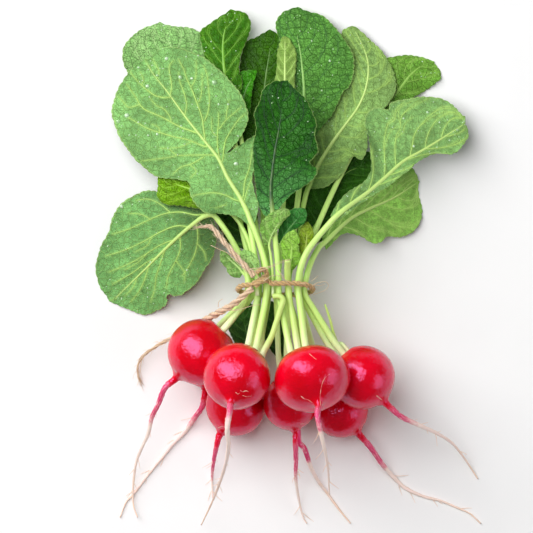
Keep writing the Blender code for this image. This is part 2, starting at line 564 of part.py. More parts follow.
def leaf_stations(spec):
    """Stations of a leaf from crown to tip: middle, margins, stalk radius and blade share."""
    _, tie_y = place(0, TIE_PY)
    left, right = margin_points(spec)
    points = []
    if spec["crown"]:
        name, side, up = spec["crown"]
        foot, out = crown_place(name, side, up)
        points += [foot + out * CROWN_GAP, foot + out * 4.5]
    if spec["slot"]:
        sx, _ = place(spec["slot"][0], 0)
        slot_z = spec["slot"][1]
        if not spec["crown"]:
            _, end_y = place(0, END_PY)
            points += [np.array([sx, end_y, slot_z])]
        points += [np.array([sx, tie_y - 2.6, slot_z]),
                   np.array([sx, tie_y + 2.6, slot_z])]
    mid = [place(*p) for p in spec["mid"]]
    # Height along the rest of the route: start, foot of the blade, tip
    start_x, start_y, start_z = points[-1]
    whole = [(start_x, start_y)] + mid
    s_all = run_length(whole)
    foot_xy = (left[0] + right[0]) / 2
    near = np.argmin([np.hypot(*(np.array(m) - foot_xy)) for m in whole])
    s_foot = max(s_all[near], 1.0)
    z_foot, z_tip = spec["z"]
    for p, s in zip(mid, s_all[1:]):
        if s < s_foot:
            u = s / s_foot
            z = start_z + (z_foot - start_z) * (3 * u * u - 2 * u ** 3)
        else:
            u = (s - s_foot) / max(s_all[-1] - s_foot, 1.0)
            z = z_foot + (z_tip - z_foot) * (1.6 * u - 0.6 * u * u)
        points.append(np.array([*p, z]))
    dense = smooth(points, 240)
    dist = np.hypot(dense[:, 0] - foot_xy[0], dense[:, 1] - foot_xy[1])
    start = int(np.argmin(dist))
    run = run_length(dense)
    # Midrib station for each pair of margin points
    share_l = run_length(left) / run_length(left)[-1]
    share_r = run_length(right) / run_length(right)[-1]
    share = (share_l + share_r) / 2
    s_mid = run[start] + (run[-1] - run[start]) * np.clip(share * 0.995, 0, 1)
    blade = np.stack([np.interp(s_mid, run, dense[:, k]) for k in range(3)], 1)
    # Stalk stations, closer where the route bends
    n_stalk = max(5, int(run[start] / 9.0) + 2) if spec["crown"] else 4
    s_stalk = np.linspace(0, run[start] - min(2.5, run[start] * 0.2), n_stalk)
    stalk = np.stack([np.interp(s_stalk, run, dense[:, k]) for k in range(3)], 1)
    return stalk, blade, left, right, run[start] / run[-1]


def leaf_grid(spec):
    """Top and bottom control points of a leaf, before the leaves are stacked.

    Returns the middle surface (stations, columns, 3) and the half heights.
    """
    stalk, blade, left, right, _ = leaf_stations(spec)
    n_s, n_b = len(stalk), len(blade)
    middle = np.zeros((n_s + n_b, 6, 3))
    half = np.zeros((n_s + n_b, 6, 3))
    route = np.vstack([stalk, blade])
    for i in range(n_s):
        before = route[max(i - 1, 0)]
        after = route[i + 1]
        way = unit(after - before)
        if i == 0 and spec["crown"]:
            way = crown_place(*spec["crown"])[1]
        across = unit(np.cross(way, (0, 0, 1)))
        lift = np.cross(across, way)
        r = spec["r"] * (1.0 - 0.25 * i / n_s)
        for j, angle in enumerate(STALK_ANGLES):
            a = math.radians(angle)
            middle[i, j] = route[i] + across * r * math.cos(a)
            half[i, j] = lift * r * math.sin(a)
    r_foot = spec["r"] * 0.75
    for k in range(n_b):
        i = n_s + k
        u = k / (n_b - 1)
        rib = r_foot * (1 - u) ** 0.8 + 0.45
        for j, c in enumerate(COLUMNS):
            edge = left[k] if c < 0 else right[k]
            share = abs(c)
            w = np.linalg.norm(edge - blade[k, :2])
            if share < 0.2:
                share = min(0.5, (rib * 0.8) / max(w, 0.3))
            xy = blade[k, :2] + (edge - blade[k, :2]) * share
            wave = spec["wave"] * math.sin(2 * math.pi * spec["turns"] * u + (2.0 if c < 0
                                                                              else 0.3))
            z = blade[k, 2] - spec["sag"] * share * w + wave * share ** 2 * min(1, w / 8)
            middle[i, j] = (*xy, z)
            high = BLADE_T / 2
            if abs(c) < 0.2:
                high = max(rib * 0.62, BLADE_T / 2 + 0.1)
            half[i, j] = (0, 0, high)
    low = (middle - np.abs(half))[:, :, 2]
    middle[:, :, 2] += np.maximum(0.0, -low)
    return middle, half, n_s


def grid_triangles(rows, cols):
    """Triangles of a grid of control points, as index triples into (row, column)."""
    out = []
    for i in range(rows - 1):
        for j in range(cols - 1):
            quad = ((i, j), (i, j + 1), (i + 1, j + 1), (i + 1, j))
            if j < cols // 2:
                tris = ((0, 1, 2), (0, 2, 3))
            else:
                tris = ((0, 1, 3), (1, 2, 3))
            for t in tris:
                out.append(tuple(quad[k] for k in t))
    return out


class HeightMap:
    """Upper surface of everything stacked so far, on a square grid."""

    def __init__(self):
        self.x0, self.y0 = -110.0, -70.0
        self.nx, self.ny = int(220 / CELL), int(200 / CELL)
        self.top = np.zeros((self.nx, self.ny))

    def cells(self, tri):
        """Cells under one triangle with the height of the triangle there."""
        p = np.asarray(tri)
        low = np.floor((p[:, :2].min(axis=0) - (self.x0, self.y0)) / CELL - 0.5).astype(int)
        high = np.ceil((p[:, :2].max(axis=0) - (self.x0, self.y0)) / CELL + 0.5).astype(int)
        low = np.maximum(low, 0)
        high = np.minimum(high, (self.nx - 1, self.ny - 1))
        if (high < low).any():
            return None
        ix, iy = np.meshgrid(np.arange(low[0], high[0] + 1), np.arange(low[1], high[1] + 1),
                             indexing="ij")
        x = self.x0 + (ix + 0.5) * CELL
        y = self.y0 + (iy + 0.5) * CELL
        (ax, ay, az), (bx, by, bz), (cx, cy, cz) = p
        det = (by - cy) * (ax - cx) + (cx - bx) * (ay - cy)
        if abs(det) < 1e-9:
            return None
        u = ((by - cy) * (x - cx) + (cx - bx) * (y - cy)) / det
        v = ((cy - ay) * (x - cx) + (ax - cx) * (y - cy)) / det
        w = 1 - u - v
        slack = 0.5 * CELL / math.sqrt(abs(det))
        inside = (u > -slack) & (v > -slack) & (w > -slack)
        if not inside.any():
            return None
        share = np.stack([np.clip(k[inside], 0, 1) for k in (u, v, w)], 1)
        share /= share.sum(axis=1, keepdims=True)
        return ix[inside], iy[inside], share @ p[:, 2], share

    def spread(self):
        """Highest value in each cell and its neighbours."""
        h = self.top
        out = h.copy()
        out[1:, :] = np.maximum(out[1:, :], h[:-1, :])
        out[:-1, :] = np.maximum(out[:-1, :], h[1:, :])
        g = out.copy()
        out[:, 1:] = np.maximum(out[:, 1:], g[:, :-1])
        out[:, :-1] = np.maximum(out[:, :-1], g[:, 1:])
        return out


def stack_leaf(heights, middle, half, gap):
    """Raise the control points of a leaf until it clears everything below it."""
    rows, cols = middle.shape[:2]
    tris = grid_triangles(rows, cols)
    tie_y = place(0, TIE_PY)[1]
    under = heights.spread()
    lift = np.zeros((rows, cols))
    free = np.clip((middle[:, :, 1] - tie_y - 2.8) / 2.0, 0, 1)
    tie_row = int((tie_y + 4.0 - heights.y0) / CELL)
    for attempt in range(60):
        worst = 0.0
        need = np.zeros((rows, cols))
        for t in tris:
            if max(free[k] for k in t) <= 0:
                continue
            pts = [middle[k] - np.abs(half[k]) * (0, 0, 1) + (0, 0, lift[k]) for k in t]
            got = heights.cells(pts)
            if got is None:
                continue
            ix, iy, z, share = got
            base = under[ix, iy]
            short = np.where(base > 0, base + gap - z, 0 - z)
            short[iy < tie_row] = 0
            k_worst = int(np.argmax(short))
            lack = short[k_worst]
            if lack > 0.01:
                worst = max(worst, lack)
                part_of = share[k_worst] * [free[k] for k in t]
                scale = max(float((part_of * share[k_worst]).sum()), 0.2)
                for k, part_k in zip(t, part_of):
                    need[k] = max(need[k], lack * part_k / scale)
        if worst <= 0.01:
            break
        lift += need
        if attempt < 10:
            # Soften the lifted shape; points are only ever raised
            mean = lift.copy()
            mean[1:-1] = (lift[:-2] + 2 * lift[1:-1] + lift[2:]) / 4
            across = mean.copy()
            across[:, 1:-1] = (mean[:, :-2] + 2 * mean[:, 1:-1] + mean[:, 2:]) / 4
            lift = np.maximum(lift, across * free)
    middle = middle.copy()
    middle[:, :, 2] += lift
    for t in tris:
        pts = [middle[k] + np.abs(half[k]) * (0, 0, 1) for k in t]
        got = heights.cells(pts)
        if got is None:
            continue
        ix, iy, z, _ = got
        np.maximum.at(heights.top, (ix, iy), z)
    return middle


def leaf_mesh(name, middle, half, mat):
    """Closed leaf from its control points: two faces alike and a narrow margin."""
    rows, cols = middle.shape[:2]
    top = middle + half
    low = middle - half
    verts = [top[i, j] for i in range(rows) for j in range(cols)]
    verts += [low[i, j] for i in range(rows) for j in range(cols)]
    for v in verts:
        v[2] = max(v[2], 0.0)
    off = rows * cols
    faces = []
    for t in grid_triangles(rows, cols):
        a, b, c = [i * cols + j for i, j in t]
        faces.append((a, b, c))
        faces.append((off + c, off + b, off + a))
    for i in range(rows - 1):
        for j in (0, cols - 1):
            a, b = i * cols + j, (i + 1) * cols + j
            faces += [(a, b, off + b), (a, off + b, off + a)]
    for i in (0, rows - 1):
        for j in range(cols - 1):
            a, b = i * cols + j, i * cols + j + 1
            faces += [(a, b, off + b), (a, off + b, off + a)]
    return add_mesh(name, verts, faces, mat)


def stub(name, mat):
    """Leaf stalk without a blade."""
    spec = STUBS[name]
    foot, out = crown_place(*spec["crown"])
    points = [foot + out * CROWN_GAP, foot + out * 4.0] + \
             [np.array(p) for p in route3(spec["route"])]
    count = 12 if name == "stalk_kinked" else 10
    if name == "stalk_kinked":
        body = list(smooth(points[:6], 7)) + [np.array(p) for p in points[6:]]
    else:
        body = list(smooth(points, count))
    n = len(body)
    r = np.linspace(spec["r"][0], spec["r"][1], n)
    frames = tube_frames(body, out)
    rings = [ring(body[i], frames[i][0], frames[i][1], r[i], 10) for i in range(n)]
    verts, faces = rings_to_mesh(rings)
    return add_mesh(name, verts, faces, mat)


def twine_curve(name, points, mat):
    """Round twine along a route, with closed ends."""
    curve = bpy.data.curves.new(name, "CURVE")
    curve.dimensions = "3D"
    curve.bevel_depth = TWINE_D / 2 * SCALE
    curve.bevel_resolution = 2
    curve.use_fill_caps = True
    line = curve.splines.new("POLY")
    line.points.add(len(points) - 1)
    for k, p in enumerate(points):
        line.points[k].co = (p[0] * SCALE, p[1] * SCALE, p[2] * SCALE, 1.0)
    curve.materials.append(mat)
    obj = bpy.data.objects.new(name, curve)
    bpy.context.scene.collection.objects.link(obj)
    return obj


def loop_route():
    """Route of the loop: from the knot round the stalks and back into the knot."""
    cx, cy, cz = LOOP_CENTRE
    hx, hy, hz = LOOP_HALF
    turn = []
    # From just right of the knot over the front, down the right side, under and up left
    for angle in np.linspace(92, -222, 30):
        a = math.radians(angle)
        x = cx + hx * math.copysign(abs(math.cos(a)) ** (2 / LOOP_POWER), math.cos(a))
        z = cz + hz * math.copysign(abs(math.sin(a)) ** (2 / LOOP_POWER), math.sin(a))
        y = cy - hy * math.sin(a)
        turn.append((x, y, z))
    whole = list(reversed(KNOT_IN)) + turn + KNOT_OUT
    return smooth(route3(whole), 46)


def build():
    for obj in list(bpy.data.objects):
        bpy.data.objects.remove(obj, do_unlink=True)
    red = material("radish_red", (0.62, 0.01, 0.05), 0.25)
    green = material("leaf_green", (0.16, 0.34, 0.08), 0.5)
    pale = material("leaf_pale", (0.30, 0.48, 0.20), 0.5)
    young = material("leaf_young", (0.38, 0.58, 0.16), 0.5)
    stalk = material("stalk_green", (0.55, 0.70, 0.28), 0.45)
    jute = material("jute", (0.52, 0.34, 0.18), 0.9)
    for name in RADISHES:
        radish(name, red)
    heights = HeightMap()
    pale_ones = ("leaf_front_left", "leaf_front_right", "leaf_under_right",
                 "leaf_left_lower", "leaf_right_tall", "leaf_narrow_pale")
    for spec in LEAVES:
        middle, half, _ = leaf_grid(spec)
        middle = stack_leaf(heights, middle, half, GAP)
        mat = pale if spec["name"] in pale_ones else green
        if spec["name"].startswith("young"):
            mat = young
        leaf_mesh(spec["name"], middle, half, mat)
    for name in STUBS:
        stub(name, stalk)
    twine_curve("twine_loop", loop_route(), jute)
    twine_curve("twine_tail_short", route3(TAIL_SHORT), jute)
    twine_curve("twine_tail_long", route3(TAIL_LONG), jute)


build()
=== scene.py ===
"""Looks of a bunch of radishes: skins, leaves with their veins, stalks and jute twine.

Every piece replaces the solid of its node and keeps that solid's place and form.
Lengths are in millimetres in the tables and turned into metres when a mesh is made.
Places across the table are given as (px, py) picture places: px grows to the right,
py grows towards the roots, and PX is the length of one of them.
"""
import bpy
import bmesh
import math
import numpy as np
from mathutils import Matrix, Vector
from mathutils.bvhtree import BVHTree
from mathutils.kdtree import KDTree


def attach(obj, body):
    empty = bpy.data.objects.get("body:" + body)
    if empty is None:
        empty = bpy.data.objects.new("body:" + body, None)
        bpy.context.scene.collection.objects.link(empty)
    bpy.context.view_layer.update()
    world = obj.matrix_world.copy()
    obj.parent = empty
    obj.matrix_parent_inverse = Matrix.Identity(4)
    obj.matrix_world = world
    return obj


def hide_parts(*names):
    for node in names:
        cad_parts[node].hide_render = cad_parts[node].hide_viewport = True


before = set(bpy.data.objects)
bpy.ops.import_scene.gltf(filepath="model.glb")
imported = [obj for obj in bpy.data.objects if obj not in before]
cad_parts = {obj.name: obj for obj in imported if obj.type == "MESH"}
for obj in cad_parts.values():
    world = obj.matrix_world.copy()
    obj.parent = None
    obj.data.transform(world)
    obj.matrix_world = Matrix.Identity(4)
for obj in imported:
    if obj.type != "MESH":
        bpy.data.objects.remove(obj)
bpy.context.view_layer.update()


# Driving dimensions
PX = 0.45                    # mm for one picture place
ORIGIN_PX = (288.61, 267.28)   # picture place of the frame origin
SCALE = 0.001                # mm to metres
BLADE_T = 0.85               # mm, upright thickness of a blade
CROWN_GAP = 0.4              # mm, gap between a crown and a leaf stalk
CROWN_ANGLE = math.radians(20)   # between the axis of a bulb and the rim of its flat crown
SHOULDER = 2.0               # mm, how far within its place a stalk meets the bulb
TIE_PY = 288.0               # picture row of the tie

# Radishes: centre (px, py, z mm), radius mm, half length mm, direction of the root in the
# picture (px, py), rise of the root direction in degrees
RADISHES = {
    "radish_left": dict(c=(201, 352, 30.6), r=14.9, a=15.0, d=(-24, 25), up=-2),
    "radish_hidden_left": dict(c=(204, 370, 7.65), r=8.0, a=8.3, d=(1, 22), up=-3),
    "radish_front_left": dict(c=(237, 375.5, 54.0), r=15.1, a=14.8, d=(-5.5, 24), up=42),
    "radish_lower_left": dict(c=(236, 406, 13.15), r=13.7, a=13.7, d=(-14, 25), up=2),
    "radish_front_right": dict(c=(311.5, 378, 54.2), r=17.2, a=13.6, d=(5.5, 22), up=39),
    "radish_lower_middle": dict(c=(290, 403, 23.2), r=12.2, a=12.4, d=(5.5, 28), up=0),
    "radish_right": dict(c=(362.5, 377.4, 32.5), r=14.6, a=14.3, d=(20.5, 22.5), up=6),
    "radish_lower_right": dict(c=(341, 411, 11.95), r=12.4, a=12.4, d=(17, 22), up=0),
}

# Taproots: picture route, length in mm over which the root comes down, end height mm
TAPROOTS = {
    "radish_left": dict(route=[(165, 388), (158, 405), (152, 417), (148, 434), (142, 447),
                               (136, 462), (133, 481), (132, 495), (133, 508), (137, 519)],
                        drop=62, end=2.4),
    "radish_hidden_left": dict(route=[(202, 407), (194, 419), (184, 433), (173, 444),
                                      (161, 459), (148, 475), (133, 495), (125, 504),
                                      (119, 519)],
                               drop=24, end=0.6),
    "radish_front_left": dict(route=[(230, 411), (228, 422), (228, 434), (229, 444),
                                     (226, 462), (221, 479), (215, 495), (210, 507),
                                     (201, 526)],
                              drop=64, end=6.0),
    "radish_lower_left": dict(route=[(217, 444), (214, 459), (212, 475), (212, 491),
                                     (212, 499)],
                              drop=26, end=1.0),
    "radish_front_right": dict(route=[(317, 415), (321, 434), (325, 452), (328, 471),
                                      (329, 494)],
                               drop=60, end=20.0),
    "radish_lower_middle": dict(route=[(295.5, 440), (296, 460), (296, 480), (299, 500),
                                       (303, 518), (307, 525)],
                                drop=42, end=0.6),
    "radish_right": dict(route=[(391, 408), (402, 417), (421, 426), (438, 434), (453, 444),
                                (466, 460), (479, 480)],
                         drop=56, end=0.6),
    "radish_lower_right": dict(route=[(371, 448), (382, 464), (395, 479), (407, 490),
                                      (425, 498), (441, 502), (458, 509), (471, 515),
                                      (482, 525)],
                               drop=30, end=0.6),
}
FORK_ROUTE = [(305, 450), (311, 468), (319, 483), (328, 495), (338, 509), (351, 525)]
ROOT_R = (1.55, 0.28)        # mm, taproot radius at the bulb and at the tip

# Leaves, lowest first.  crown: radish and place on its crown (mm sideways, mm up);
# slot: place in the tie (px, z mm), or None for a short leaf that ends below the tie;
# r: stalk radius mm; mid: route after the tie;
# left and right: the two margins from the foot of the blade to the tip;
# z: height in mm at the foot of the blade and at the tip; sag: droop of the margins
# (mm for each mm of half width); wave: mm; turns: number of waves
LEAVES = [
    dict(name="leaf_low_left", crown=("radish_lower_left", 0.0, -4.6), slot=None, r=0.75,
         mid=[(254, 360), (249, 342), (244, 322), (242, 303)],
         left=[(251, 362), (243, 354), (234, 342), (228, 328), (229, 314), (237, 303)],
         right=[(256, 361), (262, 350), (264, 336), (262, 322), (256, 308), (246, 301)],
         z=(8.2, 6.0), sag=0.04, wave=0.5, turns=2),
    dict(name="leaf_low_middle", crown=("radish_lower_middle", 0.0, -3.2), slot=None,
         r=0.8,
         mid=[(283, 362), (278, 346), (274, 330), (271, 314), (270, 302)],
         left=[(281, 361), (272, 352), (265, 340), (262, 326), (262, 312), (267, 304)],
         right=[(285.5, 361), (290, 350), (291, 336), (288, 322), (281, 310), (273, 302)],
         z=(15, 11), sag=0.04, wave=0.5, turns=2),
    dict(name="leaf_gap_right", crown=("radish_lower_right", -1.9, 0.0), slot=(288, 27.0),
         r=1.4,
         mid=[(292, 266), (302, 246), (314, 228), (326, 208), (334, 190), (342, 176),
              (356, 168), (375, 164)],
         left=[(298, 247), (292, 234), (286, 218), (284, 202), (290, 188), (306, 176),
               (330, 164), (354, 154), (371, 152)],
         right=[(306, 249), (321, 241), (334, 230), (345, 218), (354, 207), (362, 197),
                (370, 187), (377, 177), (379, 170)],
         z=(18, 6), sag=0.05, wave=0.8, turns=2),
    dict(name="leaf_right_tip", crown=("radish_lower_right", 1.9, 0.0), slot=(298, 27.0),
         r=1.5,
         mid=[(303, 262), (318, 225), (336, 185), (354, 150), (372, 120), (397, 92),
              (415, 70), (434, 60)],
         left=[(366, 120), (370, 104), (376, 90), (382, 76), (386, 64), (388, 57), (397, 55),
               (411, 54), (423, 56), (431, 59)],
         right=[(378, 124), (388, 115), (397, 106), (405, 100), (417, 95), (427, 89),
                (434, 84), (442, 77), (440, 68), (436, 63)],
         z=(8, 0.43), sag=0.05, wave=0.8, turns=3),
    dict(name="leaf_gap_left", crown=("radish_lower_left", -2.3, 1.3), slot=(259.5, 27.0),
         r=1.3,
         mid=[(257, 266), (248, 242), (238, 218), (228, 196), (221, 180)],
         left=[(246, 250), (230, 244), (221, 232), (216, 218), (213, 204), (213, 192),
               (216, 182)],
         right=[(253, 247), (256, 236), (258, 224), (256, 208), (249, 194), (239, 184),
                (227, 179)],
         z=(20, 9), sag=0.05, wave=0.8, turns=2),
    dict(name="leaf_top_left", crown=("radish_hidden_left", 0.0, 0.0), slot=(250.5, 27.0),
         r=1.5,
         mid=[(249, 262), (242, 230), (233, 190), (220, 150), (204, 112), (186, 74),
              (170, 44), (159, 22)],
         left=[(212, 146), (200, 136), (180, 126), (160, 110), (142, 92), (129, 74),
               (122, 60), (123, 46), (132, 34), (145, 26), (156, 22)],
         right=[(218, 142), (227, 126), (230, 108), (228, 90), (222, 74), (215, 58),
                (208, 44), (202, 33), (191, 27), (176, 25), (164, 23)],
         z=(8, 0.43), sag=0.05, wave=0.9, turns=3),
    dict(name="leaf_top_dark", crown=("radish_lower_left", 0.0, -1.9), slot=(269, 27.0),
         r=1.5,
         mid=[(267, 262), (264, 230), (262, 190), (262, 150), (263, 118), (265, 82),
              (270, 48), (271, 31)],
         left=[(258, 178), (246, 166), (236, 146), (233, 126), (235, 106), (240, 84), (240, 66),
               (242, 52), (247, 40), (256, 36), (267, 30)],
         right=[(266, 178), (275, 168), (282, 150), (287, 130), (290, 110), (292, 90),
                (291, 74), (289, 60), (285, 45), (279, 34), (273, 30)],
         z=(9, 4), sag=0.05, wave=0.9, turns=3),
    dict(name="leaf_right_tall", crown=("radish_right", -2.3, -1.4), slot=(300.5, 30.9),
         r=1.5,
         mid=[(300, 262), (300, 236), (303, 208), (308, 188), (317, 168), (330, 146),
              (346, 124), (360, 104), (368, 80), (367, 55), (354, 27)],
         left=[(305, 186), (306, 170), (310, 156), (315, 144), (317, 128), (325, 116),
               (335, 103), (342, 88), (347, 70), (345, 52), (341, 38), (343, 29), (349, 26)],
         right=[(313, 189), (325, 187), (334, 181), (342, 174), (352, 157), (362, 159),
                (368, 146), (368, 126), (384, 110), (396, 90), (395, 74), (384, 52),
                (359, 28)],
         z=(15, 4), sag=0.06, wave=1.0, turns=3),
    dict(name="leaf_under_right", crown=("radish_right", 0.9, 1.4), slot=(305, 34.7), r=1.6,
         mid=[(310, 267), (315, 251), (323, 244), (336, 231), (352, 217), (372, 207),
              (394, 197), (410, 187), (418, 182)],
         left=[(322, 238), (328, 226), (338, 213), (350, 202), (364, 192), (376, 184),
               (386, 177), (395, 172), (402, 169), (408, 167), (413, 168), (416, 171),
               (418, 175), (419, 179)],
         right=[(326, 250), (332, 244), (345, 233), (362, 237), (371, 242), (380, 243),
                (387, 237), (391, 236), (402, 237), (413, 232), (421, 222), (423, 211),
                (420, 195), (419, 185)],
         z=(27, 0.43), sag=0.12, wave=1.2, turns=3),
    dict(name="leaf_top_middle", crown=("radish_lower_middle", 1.8, 0.0), slot=(288, 30.9),
         r=1.6,
         mid=[(290, 262), (294, 230), (299, 190), (303, 150), (304, 96), (301, 57),
              (298, 40), (295, 12)],
         left=[(300, 156), (296, 140), (293, 122), (291, 104), (291, 86), (289, 68),
               (284, 50), (278, 34), (276, 21), (282, 12), (291, 8)],
         right=[(307, 154), (314, 138), (325, 123), (334, 112), (343, 92), (351, 84),
                (355, 62), (350, 46), (340, 32), (325, 16), (305, 9)],
         z=(15, 7), sag=0.08, wave=1.1, turns=3),
    dict(name="leaf_narrow_pale", crown=("radish_lower_middle", -1.8, 0.0),
         slot=(276, 30.9), r=1.3,
         mid=[(280, 262), (282, 230), (284, 190), (285, 160), (286, 134), (285, 82),
              (285, 39)],
         left=[(283, 136), (278, 118), (275, 100), (275, 82), (277, 64), (278, 48),
               (282, 37)],
         right=[(289, 134), (293, 118), (295, 100), (295, 82), (296, 64), (296, 50),
                (289, 38)],
         z=(15, 9), sag=0.1, wave=0.6, turns=2),
    dict(name="leaf_small_bright", crown=("radish_lower_left", 2.3, 1.3), slot=(265, 30.9),
         r=1.3,
         mid=[(263, 262), (256, 225), (250, 190), (245, 160), (241, 134), (244, 95),
              (256, 70)],
         left=[(236, 134), (230, 116), (227, 98), (228, 86), (232, 76), (241, 71),
               (253, 69)],
         right=[(244, 132), (249, 116), (251, 102), (252, 92), (253, 84), (255, 77),
                (257, 72)],
         z=(15, 10), sag=0.06, wave=0.6, turns=2),
    dict(name="young_leaf_left", crown=None, slot=(246.8, 30.9), r=0.9,
         mid=[(246, 276), (241, 269), (232, 261), (222, 252)],
         left=[(240, 278), (233, 277), (228, 273), (226, 268), (221, 262), (220, 254)],
         right=[(243, 271), (240, 265), (236, 260), (231, 257), (227, 253), (224, 250)],
         z=(31, 24), sag=0.05, wave=0.5, turns=2),
    dict(name="leaf_left_lower", crown=("radish_left", 0.3, 1.8), slot=(248.5, 34.7), r=1.6,
         mid=[(243.5, 262), (235, 246), (226, 231), (217, 218), (208, 215), (196, 222),
              (179, 236), (161, 253), (146, 268), (128, 285), (114, 299)],
         right=[(208, 211), (197, 203), (185, 197), (171, 193), (156, 191), (144, 191),
               (132, 196), (119, 205), (112, 217), (108, 231), (99, 249), (94.8, 268),
               (98, 285), (105, 295)],
         left=[(213, 219), (216, 229), (216, 242), (213, 256), (205, 269), (196, 283),
                (186, 292), (177, 296), (167, 295), (166, 304), (156, 311), (145, 315),
                (131, 311), (115, 304)],
         z=(31, 0.43), sag=0.12, wave=1.2, turns=3),
    dict(name="leaf_left_yellow", crown=("radish_left", -0.3, -1.8), slot=(255.5, 30.9),
         r=1.2,
         mid=[(254, 262), (248, 240), (238, 221), (224, 207), (204, 194), (184, 187),
              (163, 181)],
         right=[(219, 202), (210, 192), (200, 184), (189, 175), (178, 168), (168, 166),
               (162, 172)],
         left=[(217, 210), (207, 211), (195, 208), (180, 206), (165, 204), (157, 197),
                (158, 186)],
         z=(26, 19), sag=0.05, wave=0.7, turns=2),
    dict(name="leaf_top_bright", crown=("radish_front_left", 1.8, 0.0), slot=(258, 34.7),
         r=1.5,
         mid=[(255.5, 262), (250, 225), (244, 190), (236, 150), (229, 105), (224, 69),
              (223, 40), (229, 12)],
         left=[(226, 108), (219, 94), (213, 80), (207, 65), (203, 50), (200, 38), (201, 29),
               (209, 23), (218, 17), (227, 11)],
         right=[(233, 106), (240, 92), (242, 80), (239, 68), (241, 54), (247, 38), (251, 26),
                (249, 17), (243, 11), (233, 9)],
         z=(14, 9), sag=0.05, wave=0.9, turns=3),
    dict(name="young_leaf_back", crown=None, slot=(296, 34.7), r=0.9,
         mid=[(299, 272), (302, 262), (306, 244), (307, 225)],
         left=[(300, 260), (299, 249), (299, 238), (300, 229), (305, 223)],
         right=[(305, 260), (309, 252), (313, 241), (313, 231), (309, 223)],
         z=(34, 36), sag=0.05, wave=0.4, turns=1),
    dict(name="young_leaf_dark", crown=None, slot=(277.5, 34.7), r=0.9,
         mid=[(279, 262), (281, 244), (290, 228), (303, 213)],
         left=[(277, 243), (279, 229), (284, 218), (291, 210), (300, 208)],
         right=[(284, 244), (290, 234), (298, 228), (305, 222), (307, 214)],
         z=(35, 40), sag=0.06, wave=0.4, turns=1),
    dict(name="young_leaf_bright", crown=None, slot=(287, 34.7), r=0.9,
         mid=[(289, 272), (290.5, 262), (291.5, 250), (293, 233)],
         left=[(287, 270), (284, 262), (282, 254), (281, 243), (286, 234), (291, 231)],
         right=[(293, 270), (298, 264), (301, 256), (297, 249), (300, 240), (296, 232)],
         z=(35.4, 42), sag=0.06, wave=0.4, turns=1),
    dict(name="leaf_front_right", crown=("radish_front_right", 0.6, 0.0),
         slot=(298.6, 38.6), r=1.7,
         mid=[(300.6, 267), (305, 255), (314, 242), (326, 227), (339, 214), (354, 203),
              (370, 191), (382, 181), (402, 163), (417, 154), (435, 143), (449, 134),
              (465, 124)],
         left=[(330, 216), (339, 201), (351, 190), (366, 180), (371, 166), (369, 140),
               (365, 120), (369, 111), (377, 107), (388, 109), (392, 102), (410, 98),
               (428, 96), (441, 98), (453, 104), (462, 114)],
         right=[(336, 222), (347, 214), (360, 204), (374, 195), (388, 186), (400, 177),
                (410, 169), (418, 162), (430, 155), (440, 153), (450, 154), (458, 151),
                (465, 143), (469, 135), (468, 128), (466, 121)],
         z=(37, 12), sag=0.14, wave=1.4, turns=3),
    dict(name="young_leaf_round", crown=None, slot=(257.4, 38.6), r=0.9,
         mid=[(257.6, 276), (255.5, 268), (250, 260), (242, 253)],
         left=[(252, 273), (246, 270), (242, 264), (240, 256)],
         right=[(260, 269), (259, 260), (253, 253), (245, 250)],
         z=(38.6, 39), sag=0.05, wave=0.3, turns=1),
    dict(name="leaf_front_left", crown=("radish_front_left", 5.6, 0.0), slot=(266.8, 38.6),
         r=1.7,
         mid=[(265.6, 266), (260, 245), (251, 221), (241, 199), (229, 180), (218, 158),
              (203, 139), (184, 115), (169, 94), (156, 78), (146, 62)],
         left=[(247, 224), (236, 216), (222, 214), (207, 213), (196, 205), (190, 193),
               (189, 183), (177, 179), (158, 177), (141, 165), (131, 154), (121, 140),
               (114, 124), (111.5, 108), (118, 88), (129, 71), (143, 60)],
         right=[(255, 223), (258, 206), (254, 190), (252, 178), (256, 160), (256, 138),
                (249, 139), (228, 153.5), (229.5, 150), (238, 140), (246, 127), (248, 114),
                (243, 98), (229, 79), (202, 56), (167, 46), (149, 58)],
         z=(37, 14), sag=0.12, wave=1.5, turns=3),
    dict(name="leaf_middle_dark", crown=("radish_front_right", -6.4, 0.0),
         slot=(278.7, 38.6), r=1.6,
         mid=[(277.6, 262), (275, 238), (273, 216), (271, 191), (273, 167), (275, 150),
              (279, 128), (282, 102), (285, 85)],
         left=[(269, 218), (263, 214), (258, 203), (256, 188), (254, 172), (253, 148),
               (256, 127), (254, 113), (260, 101), (263, 89), (273, 82), (283, 81)],
         right=[(276, 216), (281, 206), (290, 196), (303, 187), (314, 179), (317, 170),
                (310, 163), (318, 152), (315, 135), (316, 122), (306, 100), (291, 85)],
         z=(40, 27), sag=-0.10, wave=1.3, turns=3),
    dict(name="young_leaf_pale", crown=None, slot=(272.8, 38.6), r=0.65,
         mid=[(272, 266), (270.5, 254), (270, 244), (276, 228), (287, 212)],
         left=[(265.5, 246), (261, 235), (260, 225), (267, 216), (277, 210), (285, 209)],
         right=[(270, 243), (273, 236), (279, 228), (284, 221), (288, 217), (290, 214)],
         z=(40.5, 44), sag=0.08, wave=0.4, turns=1),
]
END_PY = 295.5               # picture row where the young leaves end inside the tie

